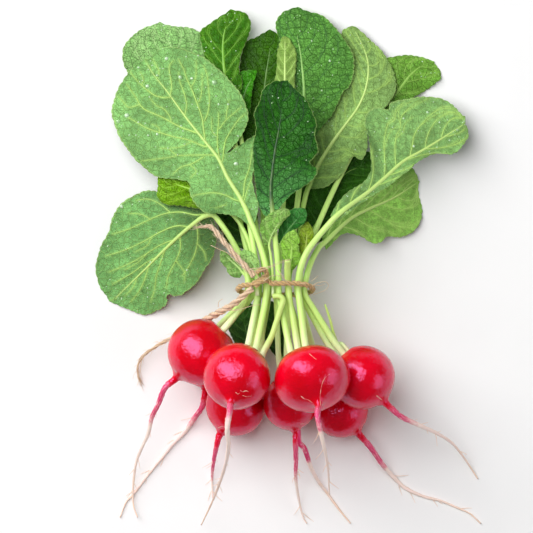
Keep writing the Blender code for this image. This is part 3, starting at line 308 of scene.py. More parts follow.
# Leaf stalks without a blade: route (px, py, z mm) and radius mm at both ends
STUBS = {
    "stalk_kinked": dict(crown=("radish_front_left", 9.2, 0.0),
                         route=[(271.6, 336, 43.6), (275.6, 324, 43.2), (279.4, 312, 43.0),
                                (282.2, 303.4, 43.0), (283, 299.8, 43.0),
                                (281, 296.8, 43.0), (277.6, 295.8, 42.8),
                                (272.8, 296.4, 42.4)], r=(1.45, 1.25)),
    "stalk_cut": dict(crown=("radish_front_right", -2.9, 0.0),
                      route=[(293.2, 320, 41.0), (289.6, 300, 39.0), (288.4, 288, 38.6),
                             (287.8, 280, 38.6), (287.4, 270, 40.6), (287.8, 260, 43.0)],
                      r=(1.5, 1.4)),
    "stalk_thin": dict(crown=("radish_right", 3.3, -0.5),
                       route=[(337.2, 343, 28.8), (333, 332, 29.6), (330.2, 320, 32.0),
                              (325, 304.5, 35.0)],
                       r=(1.0, 0.45)),
}

# Twine: loop round the stalks, knot and two tails, (px, py, z mm)
LOOP_CENTRE = (275.4, 289.0, 32.6)
LOOP_HALF = (37.0, 6.0, 10.4)     # px across, px along, mm up
LOOP_POWER = 3.5
KNOT_IN = [(268, 280.5, 43.4), (263.5, 281, 45.4), (259, 282.5, 46.2), (255.4, 285.6, 45.2)]
KNOT_OUT = [(251.5, 284.6, 42.6), (256.4, 281.8, 43.1), (262, 278.8, 42.9),
            (266.5, 274.4, 43.6), (265.2, 270.2, 45.2), (260.4, 269.8, 45.9),
            (256.6, 273.0, 45.6)]
TAIL_SHORT = [(254.2, 276.4, 45.0), (248, 269, 44.6), (242, 262.5, 44.0),
              (236, 256, 43.2), (231, 250, 42.6), (226, 244, 42.0), (222, 239, 41.4),
              (218, 234, 40.8), (214.5, 230, 40.2), (212, 227, 39.6), (207, 226.4, 38.8),
              (201, 227, 38.0)]
TAIL_LONG = [(252.6, 288.2, 44.0), (246, 293.6, 42.4), (238.5, 300, 40.2),
             (231, 305.6, 37.6), (224, 309.6, 34.0), (216, 313.8, 29.8), (208, 318.2, 25.2),
             (200, 322.5, 20.8), (192, 326.8, 17.4), (184, 331, 14.8), (176, 335.4, 12.6),
             (168, 340, 10.4), (160, 344, 8.4), (152.5, 348.8, 6.6), (146, 353.6, 5.2),
             (141, 358.6, 4.0), (138, 364, 2.9), (136.7, 370, 2.0), (137.4, 376, 1.4),
             (138.8, 381, 1.1)]


def place(px, py):
    """Millimetres across the table of a picture place."""
    return ((px - ORIGIN_PX[0]) * PX, (ORIGIN_PX[1] - py) * PX)


def route3(points):
    """Route in millimetres from (px, py, z) places."""
    return [(*place(p[0], p[1]), p[2]) for p in points]


def unit(v):
    """Direction of a vector, as a vector of length 1."""
    v = np.asarray(v, float)
    return v / max(np.linalg.norm(v), 1e-9)


def smooth(points, count, power=1.0):
    """Evenly spaced points on a smooth curve through the given ones."""
    p = np.array(points, float)
    ends = np.vstack([2 * p[0] - p[1], p, 2 * p[-1] - p[-2]])
    dense = []
    for i in range(len(p) - 1):
        a, b, c, d = ends[i:i + 4]
        for t in np.linspace(0, 1, 12, endpoint=False):
            dense.append(0.5 * (2 * b + (c - a) * t + (2 * a - 5 * b + 4 * c - d) * t * t
                                + (3 * b - a - 3 * c + d) * t ** 3))
    dense.append(p[-1])
    dense = np.array(dense)
    run = np.concatenate([[0], np.cumsum(np.linalg.norm(np.diff(dense, axis=0), axis=1))])
    want = run[-1] * np.linspace(0, 1, count) ** power
    return np.stack([np.interp(want, run, dense[:, k]) for k in range(dense.shape[1])], 1)


def run_length(points):
    """Running length along a route."""
    steps = np.linalg.norm(np.diff(np.asarray(points, float), axis=0), axis=1)
    return np.concatenate([[0], np.cumsum(steps)])


def radish_axis(name):
    """Centre and root direction of a radish, in millimetres."""
    spec = RADISHES[name]
    centre = np.array([*place(spec["c"][0], spec["c"][1]), spec["c"][2]])
    flat = unit((spec["d"][0], -spec["d"][1]))
    rise = math.radians(spec["up"])
    return centre, np.array([flat[0] * math.cos(rise), flat[1] * math.cos(rise),
                             math.sin(rise)])


def crown_place(name, side, up):
    """Point on the crown of a radish, or on its shoulder, and the outward direction."""
    centre, root = radish_axis(name)
    spec = RADISHES[name]
    out = -root
    across = unit(np.cross((0, 0, 1), out))
    if across[0] < 0:
        across = -across
    lift = unit(np.cross(out, across))
    if lift[2] < 0:
        lift = -lift
    reach = max(0.0, math.hypot(side, up) - SHOULDER) / spec["r"]
    foot = centre + out * spec["a"] * min(math.cos(CROWN_ANGLE), math.sqrt(1 - reach ** 2))
    return foot + across * side + lift * up, out


def tail_heights(spine_xy, z0, slope, drop, end):
    """Heights of a taproot that leaves the bulb with a slope and comes down."""
    s = run_length(spine_xy)
    u = np.clip(s / drop, 0, 1)
    return z0 + slope * drop * u * (1 - u) ** 2 + (end - z0) * (3 * u ** 2 - 2 * u ** 3)


def tube_frames(spine, start):
    """Sideways and upward directions along a route, without twist."""
    frames = []
    across = unit(np.cross((0, 0, 1), start))
    n = len(spine)
    for i in range(n):
        before = spine[i] - spine[i - 1] if i > 0 else start
        after = spine[i + 1] - spine[i] if i < n - 1 else before
        if i == n - 1:
            after = before
        way = unit(unit(before) + unit(after))
        across = unit(across - way * np.dot(across, way))
        frames.append((across, np.cross(way, across)))
    return frames


# Columns across a leaf: signed share of the half width, and the place on the round stalk
COLUMNS = (-1.0, -0.55, -0.12, 0.12, 0.55, 1.0)
STALK_ANGLES = (165, 135, 105, 75, 45, 15)


def margin_points(spec):
    """Left and right margin of a blade, in millimetres."""
    left = np.array([place(*p) for p in spec["left"]])
    right = np.array([place(*p) for p in spec["right"]])
    return left, right


def leaf_stations(spec):
    """Stations of a leaf from crown to tip: stalk, midrib of the blade and both margins."""
    _, tie_y = place(0, TIE_PY)
    left, right = margin_points(spec)
    points = []
    if spec["crown"]:
        name, side, up = spec["crown"]
        foot, out = crown_place(name, side, up)
        points += [foot + out * CROWN_GAP, foot + out * 4.5]
    if spec["slot"]:
        sx, _ = place(spec["slot"][0], 0)
        slot_z = spec["slot"][1]
        if not spec["crown"]:
            _, end_y = place(0, END_PY)
            points += [np.array([sx, end_y, slot_z])]
        points += [np.array([sx, tie_y - 2.6, slot_z]),
                   np.array([sx, tie_y + 2.6, slot_z])]
    mid = [place(*p) for p in spec["mid"]]
    # Height along the rest of the route: start, foot of the blade, tip
    start_x, start_y, start_z = points[-1]
    whole = [(start_x, start_y)] + mid
    s_all = run_length(whole)
    foot_xy = (left[0] + right[0]) / 2
    near = np.argmin([np.hypot(*(np.array(m) - foot_xy)) for m in whole])
    s_foot = max(s_all[near], 1.0)
    z_foot, z_tip = spec["z"]
    for p, s in zip(mid, s_all[1:]):
        if s < s_foot:
            u = s / s_foot
            z = start_z + (z_foot - start_z) * (3 * u * u - 2 * u ** 3)
        else:
            u = (s - s_foot) / max(s_all[-1] - s_foot, 1.0)
            z = z_foot + (z_tip - z_foot) * (1.6 * u - 0.6 * u * u)
        points.append(np.array([*p, z]))
    dense = smooth(points, 240)
    dist = np.hypot(dense[:, 0] - foot_xy[0], dense[:, 1] - foot_xy[1])
    start = int(np.argmin(dist))
    run = run_length(dense)
    # Midrib station for each pair of margin points
    share_l = run_length(left) / run_length(left)[-1]
    share_r = run_length(right) / run_length(right)[-1]
    share = (share_l + share_r) / 2
    s_mid = run[start] + (run[-1] - run[start]) * np.clip(share * 0.995, 0, 1)
    blade = np.stack([np.interp(s_mid, run, dense[:, k]) for k in range(3)], 1)
    # Stalk stations, closer where the route bends
    n_stalk = max(5, int(run[start] / 9.0) + 2) if spec["crown"] else 4
    s_stalk = np.linspace(0, run[start] - min(2.5, run[start] * 0.2), n_stalk)
    stalk = np.stack([np.interp(s_stalk, run, dense[:, k]) for k in range(3)], 1)
    return stalk, blade, left, right


def leaf_grid(spec):
    """Control points of a leaf, as its solid has them before the leaves are stacked.

    Returns the middle surface (stations, columns, 3), the half heights and the number of
    stations that are on the stalk.
    """
    stalk, blade, left, right = leaf_stations(spec)
    n_s, n_b = len(stalk), len(blade)
    middle = np.zeros((n_s + n_b, 6, 3))
    half = np.zeros((n_s + n_b, 6, 3))
    route = np.vstack([stalk, blade])
    for i in range(n_s):
        before = route[max(i - 1, 0)]
        after = route[i + 1]
        way = unit(after - before)
        if i == 0 and spec["crown"]:
            way = crown_place(*spec["crown"])[1]
        across = unit(np.cross(way, (0, 0, 1)))
        lift = np.cross(across, way)
        r = spec["r"] * (1.0 - 0.25 * i / n_s)
        for j, angle in enumerate(STALK_ANGLES):
            a = math.radians(angle)
            middle[i, j] = route[i] + across * r * math.cos(a)
            half[i, j] = lift * r * math.sin(a)
    r_foot = spec["r"] * 0.75
    for k in range(n_b):
        i = n_s + k
        u = k / (n_b - 1)
        rib = r_foot * (1 - u) ** 0.8 + 0.45
        for j, c in enumerate(COLUMNS):
            edge = left[k] if c < 0 else right[k]
            share = abs(c)
            w = np.linalg.norm(edge - blade[k, :2])
            if share < 0.2:
                share = min(0.5, (rib * 0.8) / max(w, 0.3))
            xy = blade[k, :2] + (edge - blade[k, :2]) * share
            wave = spec["wave"] * math.sin(2 * math.pi * spec["turns"] * u + (2.0 if c < 0
                                                                              else 0.3))
            z = blade[k, 2] - spec["sag"] * share * w + wave * share ** 2 * min(1, w / 8)
            middle[i, j] = (*xy, z)
            high = BLADE_T / 2
            if abs(c) < 0.2:
                high = max(rib * 0.62, BLADE_T / 2 + 0.1)
            half[i, j] = (0, 0, high)
    low = (middle - np.abs(half))[:, :, 2]
    middle[:, :, 2] += np.maximum(0.0, -low)
    return middle, half, n_s


def loop_route():
    """Route of the loop: from the knot round the stalks and back into the knot."""
    cx, cy, cz = LOOP_CENTRE
    hx, hy, hz = LOOP_HALF
    turn = []
    # From just right of the knot over the front, down the right side, under and up left
    for angle in np.linspace(92, -222, 30):
        a = math.radians(angle)
        x = cx + hx * math.copysign(abs(math.cos(a)) ** (2 / LOOP_POWER), math.cos(a))
        z = cz + hz * math.copysign(abs(math.sin(a)) ** (2 / LOOP_POWER), math.sin(a))
        y = cy - hy * math.sin(a)
        turn.append((x, y, z))
    whole = list(reversed(KNOT_IN)) + turn + KNOT_OUT
    return smooth(route3(whole), 46)


def spread(xs, ys, x):
    """Smooth values without overshoot: ys has a last axis with one value for each of xs."""
    xs = np.asarray(xs, float)
    gap = np.diff(xs)
    steps = np.diff(ys, axis=-1) / gap
    slope = np.zeros_like(ys)
    before, after = steps[..., :-1], steps[..., 1:]
    same = before * after > 0
    total = np.where(same, before + after, 1.0)
    slope[..., 1:-1] = np.where(same, 2 * before * after / total, 0.0)
    slope[..., 0] = steps[..., 0]
    slope[..., -1] = steps[..., -1]
    i = np.clip(np.searchsorted(xs, x, side="right") - 1, 0, len(xs) - 2)
    t = (x - xs[i]) / gap[i]
    return (ys[..., i] * (1 + 2 * t) * (1 - t) ** 2 + ys[..., i + 1] * t * t * (3 - 2 * t)
            + gap[i] * (slope[..., i] * t * (1 - t) ** 2
                        - slope[..., i + 1] * t * t * (1 - t)))


def curve_rows(points, where):
    """Smooth places between the rows of points; where counts rows, with fractions."""
    p = np.asarray(points, float)
    p = np.vstack([[2 * p[0] - p[1]], p, [2 * p[-1] - p[-2]]])
    i = np.clip(where.astype(int), 0, len(p) - 4)
    t = (where - i)[:, None]
    a, b, c, d = p[i], p[i + 1], p[i + 2], p[i + 3]
    return 0.5 * (2 * b + (c - a) * t + (2 * a - 5 * b + 4 * c - d) * t * t
                  + (3 * b - a - 3 * c + d) * t ** 3)


def linear(red, green, blue):
    """Shader colour from a display colour of 0 to 255."""
    out = []
    for v in (red, green, blue):
        v = v / 255
        out.append(v / 12.92 if v <= 0.04045 else ((v + 0.055) / 1.055) ** 2.4)
    return (*out, 1.0)


class Build:
    """Points, faces and per-point values of one piece, in millimetres."""

    def __init__(self):
        self.verts, self.faces, self.mats = [], [], []
        self.values = {}

    def add(self, verts, faces, mat, **values):
        """Append a shell; each value is a number or one number for each point."""
        start = len(self.verts)
        self.verts += [tuple(v) for v in np.asarray(verts, float)]
        self.faces += [tuple(start + k for k in f) for f in faces]
        self.mats += [mat] * len(faces) if isinstance(mat, int) else list(mat)
        for key in sorted({*self.values, *values}):
            row = self.values.setdefault(key, [0.0] * start)
            new = values.get(key, 0.0)
            row += list(np.broadcast_to(np.asarray(new, float), (len(verts),)))

    def finish(self, name, materials, slot, *nodes):
        """Make the object, ride it on the body and let it stand for its solids."""
        mesh = bpy.data.meshes.new(name)
        points = [tuple(c * SCALE for c in v) for v in self.verts]
        mesh.from_pydata(points, [], self.faces)
        for m in materials:
            mesh.materials.append(m)
        mesh.polygons.foreach_set("material_index", self.mats)
        bm = bmesh.new()
        bm.from_mesh(mesh)
        bmesh.ops.recalc_face_normals(bm, faces=bm.faces)
        bm.to_mesh(mesh)
        bm.free()
        mesh.shade_smooth()
        for key, row in self.values.items():
            attribute = mesh.attributes.new(key, "FLOAT", "POINT")
            attribute.data.foreach_set("value", np.array(row, np.float32))
        obj = bpy.data.objects.new(name, mesh)
        bpy.context.scene.collection.objects.link(obj)
        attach(obj, "root")
        if nodes:
            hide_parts(*nodes)
        return obj


def tube(route, radii, sides, flat=1.0, start=None):
    """Closed tube along a route: points, faces, run along it and place round it."""
    route = [np.asarray(p, float) for p in route]
    frames = tube_frames(route, unit(route[1] - route[0]) if start is None else start)
    radii = np.broadcast_to(np.asarray(radii, float), (len(route),))
    flat = np.broadcast_to(np.asarray(flat, float), (len(route),))
    verts, around = [], []
    for p, (across, lift), r, f in zip(route, frames, radii, flat):
        for j in range(sides):
            a = 2 * math.pi * j / sides
            verts.append(p + across * r * math.cos(a) + lift * r * f * math.sin(a))
            around.append(j / sides)
    faces = tube_faces(len(route), sides)
    return np.array(verts), faces, np.repeat(run_length(route), sides), np.array(around)


def tube_faces(count, sides):
    """Faces of a tube of equal rings, with flat ends."""
    faces = []
    for i in range(count - 1):
        for j in range(sides):
            a, b = i * sides + j, i * sides + (j + 1) % sides
            faces.append((a, b, b + sides, a + sides))
    faces.append(tuple(range(sides - 1, -1, -1)))
    faces.append(tuple((count - 1) * sides + j for j in range(sides)))
    return faces


# Shader helpers

def put(tree, kind, values=(), **settings):
    """Add a shader node; values are input names or numbers with what they get."""
    node = tree.nodes.new(kind)
    for key, value in settings.items():
        setattr(node, key, value)
    for key, value in dict(values).items():
        if isinstance(value, bpy.types.NodeSocket):
            tree.links.new(value, node.inputs[key])
        else:
            node.inputs[key].default_value = value
    return node


def attribute(tree, name):
    """Value that the points of a mesh carry."""
    return put(tree, "ShaderNodeAttribute", attribute_name=name).outputs["Fac"]


def maths(tree, operation, *values):
    """Result of a sum with numbers or sockets."""
    node = put(tree, "ShaderNodeMath", dict(enumerate(values)), operation=operation)
    return node.outputs[0]


def limits(tree, value, low, high, first=0.0, last=1.0):
    """Value between two limits, eased, as a share."""
    node = put(tree, "ShaderNodeMapRange", {"Value": value, "From Min": low,
                                            "From Max": high, "To Min": first,
                                            "To Max": last}, interpolation_type="SMOOTHSTEP")
    return node.outputs["Result"]


def mix(tree, share, a, b):
    """Colour between a and b."""
    node = put(tree, "ShaderNodeMix", {0: share, 6: a, 7: b}, data_type="RGBA")
    return node.outputs[2]


def noise(tree, where, scale, detail=2.0, rough=0.5):
    """Cloudy values from 0 to 1."""
    node = put(tree, "ShaderNodeTexNoise", {"Vector": where, "Scale": scale,
                                            "Detail": detail, "Roughness": rough})
    return node.outputs["Fac"]


def net(tree, where, scale, width):
    """Lines of a net of cells: 1 on a line and 0 off it."""
    node = put(tree, "ShaderNodeTexVoronoi", {"Vector": where, "Scale": scale,
                                              "Randomness": 0.9},
               feature="DISTANCE_TO_EDGE", voronoi_dimensions="2D")
    return limits(tree, node.outputs["Distance"], 0.0, width, 1.0, 0.0)


def new_material(name, rough, specular, sheen=0.0):
    """Material with its node tree, its shader and the place on the object."""
    mat = bpy.data.materials.new(name)
    mat.use_nodes = True
    tree = mat.node_tree
    shader = tree.nodes["Principled BSDF"]
    shader.inputs["Roughness"].default_value = rough
    shader.inputs["Specular IOR Level"].default_value = specular
    shader.inputs["Sheen Weight"].default_value = sheen
    where = put(tree, "ShaderNodeTexCoord").outputs["Object"]
    return mat, tree, shader, where


def set_bump(tree, shader, height, distance, strength=1.0):
    """Fine relief, distance in metres."""
    bump = put(tree, "ShaderNodeBump", {"Height": height, "Distance": distance,
                                        "Strength": strength})
    tree.links.new(bump.outputs["Normal"], shader.inputs["Normal"])


# Tones of a blade against its colour, the two nets (cells a metre, width of a line as a
# share) and the depth of the relief in metres under and above
TONES = (1.42, 0.98, 0.46)
COARSE_NET, FINE_NET = (330.0, 0.07), (900.0, 0.11)
RELIEF_UNDER, RELIEF_UPPER = 0.0005, 0.0009


def leaf_face(name, look, under):
    """Face of a blade: colour, bands beside the veins, two nets, a foot of painted shade with
    darker green (or foot_tone), and margin.
    """
    base, vein = (look["under"], look["under_vein"]) if under else (look["upper"],
                                                                    look["upper_vein"])
    rough = 0.5 if under else look.get("rough", 0.42)
    mat, tree, shader, where = new_material(name, rough, specular=0.14)
    share = attribute(tree, "share")
    near = attribute(tree, "near")
    warp = put(tree, "ShaderNodeTexNoise", {"Vector": where, "Scale": 260.0, "Detail": 1.0})
    bent = put(tree, "ShaderNodeVectorMath", {0: where}, operation="ADD")
    shift = put(tree, "ShaderNodeVectorMath", {0: warp.outputs["Color"], "Scale": 0.0022},
                operation="SCALE")
    tree.links.new(shift.outputs[0], bent.inputs[1])
    coarse = net(tree, bent.outputs[0], *COARSE_NET)
    fine = net(tree, bent.outputs[0], *FINE_NET)
    light, plain, dark = (tuple(min(0.95, c * k) for c in linear(*base)[:3]) + (1.0,)
                          for k in TONES)
    patch = noise(tree, where, 48.0, 3.0, 0.6)
    colour = mix(tree, limits(tree, patch, 0.36, 0.64), plain, light)
    mottle = noise(tree, where, 420.0, 3.0, 0.65)
    colour = mix(tree, limits(tree, mottle, 0.35, 0.7, 0.0, 0.6), colour, dark)
    grain = noise(tree, where, 1500.0, 2.0, 0.7)
    colour = mix(tree, limits(tree, grain, 0.4, 0.7, 0.0, 0.45), colour, dark)
    # Foot of the blade: painted shade with a darker green of the leaf itself, fading out along
    # the leaf; a leaf with a foot_tone turns to that colour instead.
    foot = limits(tree, attribute(tree, "along"), 0.0, look["foot_end"], look["foot"], 0.0)
    if "foot_tone" in look:
        foot_shade_or_tone = linear(*look["foot_tone"])
    else:
        foot_shade_or_tone = tuple(c * 0.45 for c in dark[:3]) + (1.0,)
    colour = mix(tree, foot, colour, foot_shade_or_tone)
    # Vein colour: on the upper faces of leaf_top_middle and leaf_middle_dark it is dark, painted
    # shadow in the sunken veins.
    pale = linear(*vein)
    colour = mix(tree, maths(tree, "MULTIPLY", fine, 0.2), colour, pale)
    colour = mix(tree, maths(tree, "MULTIPLY", coarse, 0.3), colour, pale)
    # Bands beside the veins in the vein colour: painted shade beside the sunken veins where that
    # colour is dark, a paler band where it is pale.
    halo = limits(tree, near, 0.0, 1.3, 0.34 if under else 0.3, 0.0)
    colour = mix(tree, halo, colour, pale)
    edge = limits(tree, share, 0.965, 0.995, 0.0, 0.55)
    colour = mix(tree, edge, colour, linear(*look["margin"]))
    tree.links.new(colour, shader.inputs["Base Color"])
    high = maths(tree, "ADD", maths(tree, "MULTIPLY", coarse, 0.5),
                 maths(tree, "MULTIPLY", fine, 0.25))
    if not under:
        high = maths(tree, "MULTIPLY", high, -1.0)
    high = maths(tree, "ADD", high, maths(tree, "MULTIPLY", mottle, 0.8))
    set_bump(tree, shader, high, RELIEF_UNDER if under else RELIEF_UPPER)
    return mat


def vein_material(name, colour):
    """Veins of one leaf, in two tones of their colour."""
    mat, tree, shader, where = new_material(name, 0.45, specular=0.35)
    dark = tuple(c * 0.7 for c in linear(*colour)[:3]) + (1.0,)
    tone = limits(tree, noise(tree, where, 300.0, 2.0), 0.35, 0.7, 0.0, 0.7)
    tree.links.new(mix(tree, tone, linear(*colour), dark), shader.inputs["Base Color"])
    return mat


def water_material():
    """Water drops, opaque, with painted light: pale as the lit leaf that they magnify, with a
    sharp gloss.
    """
    mat, tree, shader, where = new_material("water", 0.04, specular=1.0)
    # Painted light: pale greens that stand for the lit leaf seen through the drop.
    tone = limits(tree, noise(tree, where, 500.0, 1.0), 0.3, 0.7)
    tree.links.new(mix(tree, tone, linear(150, 196, 128), linear(198, 224, 188)),
                   shader.inputs["Base Color"])
    return mat


def stalk_material(name, crown, stalk, rib):
    """Leaf stalk: whitish at the crown, pale green above, then the colour of the midrib, with
    painted shade along its sides.
    """
    mat, tree, shader, where = new_material(name, 0.38, specular=0.4)
    place_on = attribute(tree, "stalk")
    colour = mix(tree, limits(tree, place_on, 0.0, 0.36), linear(*crown), linear(*stalk))
    colour = mix(tree, limits(tree, place_on, 0.85, 1.25), colour, linear(*rib))
    stretch = put(tree, "ShaderNodeMapping", {"Vector": where, "Scale": (1.0, 0.12, 1.0)})
    streak = noise(tree, stretch.outputs[0], 900.0, 2.0)
    dark = tuple(c * 0.72 for c in linear(*stalk)[:3]) + (1.0,)
    colour = mix(tree, limits(tree, streak, 0.45, 0.72, 0.0, 0.2), colour, dark)
    # Painted shade along both sides of the stalk, less of it near the crown.
    around = attribute(tree, "around")
    side = maths(tree, "ABSOLUTE", maths(tree, "COSINE",
                                         maths(tree, "MULTIPLY", around, 2 * math.pi)))
    edge = maths(tree, "MULTIPLY", limits(tree, side, 0.6, 1.0, 0.0, 0.25),
                 limits(tree, place_on, 0.1, 0.5, 0.2, 1.0))
    colour = mix(tree, edge, colour, tuple(c * 0.55 for c in linear(*stalk)[:3]) + (1.0,))
    tree.links.new(colour, shader.inputs["Base Color"])
    set_bump(tree, shader, streak, 0.00015, 0.6)
    return mat


def radish_material():
    """Glossy crimson skin, pink and then cream along the taproot, pale at the crown."""
    mat, tree, shader, where = new_material("radish_skin", 0.13, specular=1.0)
    shader.inputs["IOR"].default_value = 1.48
    shader.inputs["Specular Tint"].default_value = (1.0, 0.42, 0.95, 1.0)
    tone = attribute(tree, "tone")
    broad = noise(tree, where, 60.0, 2.0)
    red = mix(tree, limits(tree, broad, 0.35, 0.68), linear(214, 0, 14), linear(236, 0, 32))
    fleck = noise(tree, where, 900.0, 3.0, 0.7)
    red = mix(tree, limits(tree, fleck, 0.5, 0.8, 0.0, 0.3), red, linear(180, 0, 26))
    pores = noise(tree, where, 1500.0, 1.0)
    red = mix(tree, limits(tree, pores, 0.66, 0.78, 0.0, 0.3), red, linear(240, 30, 80))
    spots = put(tree, "ShaderNodeTexVoronoi", {"Vector": where, "Scale": 150.0})
    dot = maths(tree, "MULTIPLY",
                limits(tree, spots.outputs["Distance"], 0.04, 0.09, 0.8, 0.0),
                limits(tree, noise(tree, where, 45.0), 0.52, 0.6))
    red = mix(tree, dot, red, linear(96, 30, 26))
    rag = noise(tree, where, 330.0, 3.0, 0.6)
    worn = maths(tree, "ADD", tone, maths(tree, "MULTIPLY",
                                          maths(tree, "SUBTRACT", rag, 0.5), 0.9))
    colour = mix(tree, limits(tree, worn, 0.25, 1.0), red, linear(218, 40, 96))
    colour = mix(tree, limits(tree, worn, 1.1, 1.9), colour, linear(252, 232, 216))
    colour = mix(tree, limits(tree, worn, 2.1, 2.9), colour, linear(244, 214, 180))
    # Pale streaks along the root
    lines = put(tree, "ShaderNodeCombineXYZ", {
        0: maths(tree, "MULTIPLY", attribute(tree, "around"), 2.6),
        1: maths(tree, "MULTIPLY", tone, 5.0)})
    streak = limits(tree, noise(tree, lines.outputs[0], 2.0, 3.0, 0.7), 0.5, 0.66)
    streak = maths(tree, "MULTIPLY", streak, limits(tree, tone, 0.3, 0.9, 0.0, 0.75))
    colour = mix(tree, streak, colour, linear(255, 236, 228))
    crown = limits(tree, tone, -1.0, -0.35, 1.0, 0.0)
    colour = mix(tree, crown, colour, linear(214, 206, 160))
    tree.links.new(colour, shader.inputs["Base Color"])
    tree.links.new(limits(tree, tone, 0.1, 1.2, 0.13, 0.5), shader.inputs["Roughness"])
    ragged = noise(tree, where, 190.0, 4.0, 0.65)
    high = maths(tree, "ADD", broad, maths(tree, "MULTIPLY", ragged, 0.75))
    set_bump(tree, shader, high, 0.0013, 0.6)
    return mat


def jute_material(name="jute", tones=((180, 138, 82), (242, 212, 156), (210, 164, 104))):
    """Twisted jute: fibres that run along the ply, light and dark, with painted shade in the
    hollows between the plies.
    """
    mat, tree, shader, where = new_material(name, 0.85, specular=0.2, sheen=0.25)
    cell = put(tree, "ShaderNodeCombineXYZ", {
        0: maths(tree, "MULTIPLY", attribute(tree, "around"), 14.0),
        1: maths(tree, "MULTIPLY", attribute(tree, "run"), 0.35)})
    fibre = noise(tree, cell.outputs[0], 2.2, 4.0, 0.65)
    patch = noise(tree, where, 180.0, 2.0)
    colour = mix(tree, limits(tree, fibre, 0.34, 0.66), linear(*tones[0]), linear(*tones[1]))
    colour = mix(tree, limits(tree, patch, 0.4, 0.7, 0.0, 0.4), colour, linear(*tones[2]))
    # Painted shade in the hollows between the plies.
    groove = limits(tree, attribute(tree, "groove"), 0.0, 1.0, 0.0, 0.6)
    dark = tuple(c * 0.35 for c in linear(*tones[0])[:3]) + (1.0,)
    colour = mix(tree, groove, colour, dark)
    tree.links.new(colour, shader.inputs["Base Color"])
    set_bump(tree, shader, fibre, 0.00035, 0.9)
    return mat


# Looks of the leaves.  under, upper: colour of each face, with that of its veins; seen:
# the face that shows from above; margin, rib, stalk, crown: colours of the rim, midrib
# and stalk; upper_rib: midrib on the upper face, where it differs from the veins; gap:
# mm between lateral veins; teeth, tooth: depth and length of a tooth in mm; ruffle: mm;
# foot, foot_end: how much painted shade, with a darker green of the leaf itself, darkens
# the foot of the blade (or how far it turns to foot_tone) and the share of the length at
# which that ends; rough: gloss of the upper face.  The dark upper_vein of leaf_top_middle
# and leaf_middle_dark, and the dark upper_rib of leaf_middle_dark, are painted shadow in
# the sunken veins.

UNDER, UNDER_VEIN = (133, 190, 108), (182, 222, 116)
UPPER, UPPER_VEIN = (62, 128, 42), (136, 188, 84)
PLAIN = dict(under=UNDER, under_vein=UNDER_VEIN, upper=UPPER, upper_vein=UPPER_VEIN,
             margin=(176, 206, 120), gap=7.5, teeth=0.42, tooth=3.2, seen="upper",
             ruffle=0.3, rib=(196, 226, 130), stalk=(208, 246, 136), crown=(244, 255, 214),
             foot=0.2, foot_end=0.55)
YOUNG = dict(gap=3.6, tooth=2.2, teeth=0.3)
LOOKS = {
    "leaf_low_left": dict(upper=(36, 84, 18), upper_vein=(70, 118, 40), gap=4.5, tooth=2.4,
                          teeth=0.3, foot=0.8, foot_end=1.0),
    "leaf_low_middle": dict(upper=(32, 78, 16), upper_vein=(66, 112, 38), gap=4.5,
                            tooth=2.4, teeth=0.3, foot=0.8, foot_end=1.0),
    "leaf_gap_right": dict(upper=(41, 92, 10), upper_vein=(62, 116, 26), gap=6.0,
                           upper_rib=(120, 166, 60), foot=0.5),
    "leaf_right_tip": dict(upper=(115, 174, 60), upper_vein=(146, 194, 84), gap=6.0),
    "leaf_gap_left": dict(upper=(44, 98, 16), upper_vein=(80, 136, 40), gap=6.0, foot=0.8,
                          foot_end=0.8),
    "leaf_top_left": dict(upper=(150, 208, 118), upper_vein=(178, 220, 142)),
    "leaf_top_dark": dict(upper=(63, 118, 10), upper_vein=(62, 108, 30), gap=6.5,
                          upper_rib=(84, 130, 46), foot=0.95, foot_end=0.6),
    "leaf_right_tall": dict(seen="under", under=(137, 178, 98), under_vein=(168, 208, 104)),
    "leaf_under_right": dict(seen="under", under=(146, 203, 90)),
    # Dark upper_vein: painted shadow in the sunken side veins.
    "leaf_top_middle": dict(upper=(100, 163, 67), upper_vein=(62, 118, 44), gap=8.0,
                            upper_rib=(144, 194, 100)),
    "leaf_narrow_pale": dict(seen="under", under=(120, 156, 66), gap=5.0, ruffle=0.2),
    "leaf_small_bright": dict(upper=(66, 158, 13), upper_vein=(72, 136, 32), gap=5.0,
                              foot=0.95, foot_end=0.8),
    "young_leaf_left": dict(YOUNG, upper=(112, 164, 76), upper_vein=(170, 206, 120)),
    "leaf_left_lower": dict(seen="under", under=(122, 181, 103), gap=8.5, foot=0.9,
                            foot_end=0.5),
    "leaf_left_yellow": dict(upper=(105, 159, 4), upper_vein=(150, 200, 50), gap=5.5),
    "leaf_top_bright": dict(upper=(58, 125, 10), upper_vein=(118, 180, 50), gap=6.5),
    "young_leaf_back": dict(YOUNG, upper=(150, 188, 30), upper_vein=(180, 200, 90)),
    "young_leaf_dark": dict(YOUNG, upper=(46, 130, 44), upper_vein=(90, 150, 80)),
    "young_leaf_bright": dict(YOUNG, upper=(160, 226, 78), upper_vein=(176, 220, 110)),
    "leaf_front_right": dict(seen="under", gap=9.0, under=(133, 182, 104)),
    "young_leaf_round": dict(YOUNG, upper=(176, 244, 126), upper_vein=(160, 214, 120),
                             teeth=0.1),
    "leaf_front_left": dict(seen="under", gap=9.5),
    # Dark upper_vein and upper_rib: painted shadow in the sunken veins and midrib; foot_tone
    # makes the foot lighter.
    "leaf_middle_dark": dict(upper=(44, 107, 24), upper_vein=(25, 68, 28), gap=7.5,
                             upper_rib=(26, 72, 28), rough=0.36, foot=0.8,
                             foot_tone=(92, 164, 84)),
    "young_leaf_pale": dict(YOUNG, upper=(120, 176, 72), upper_vein=(176, 212, 124),
                            teeth=0.34),
}
ROW_STEP = 0.55              # mm between rows of a blade, along the margin
COLUMN_STEP = 0.95           # mm between columns of a blade
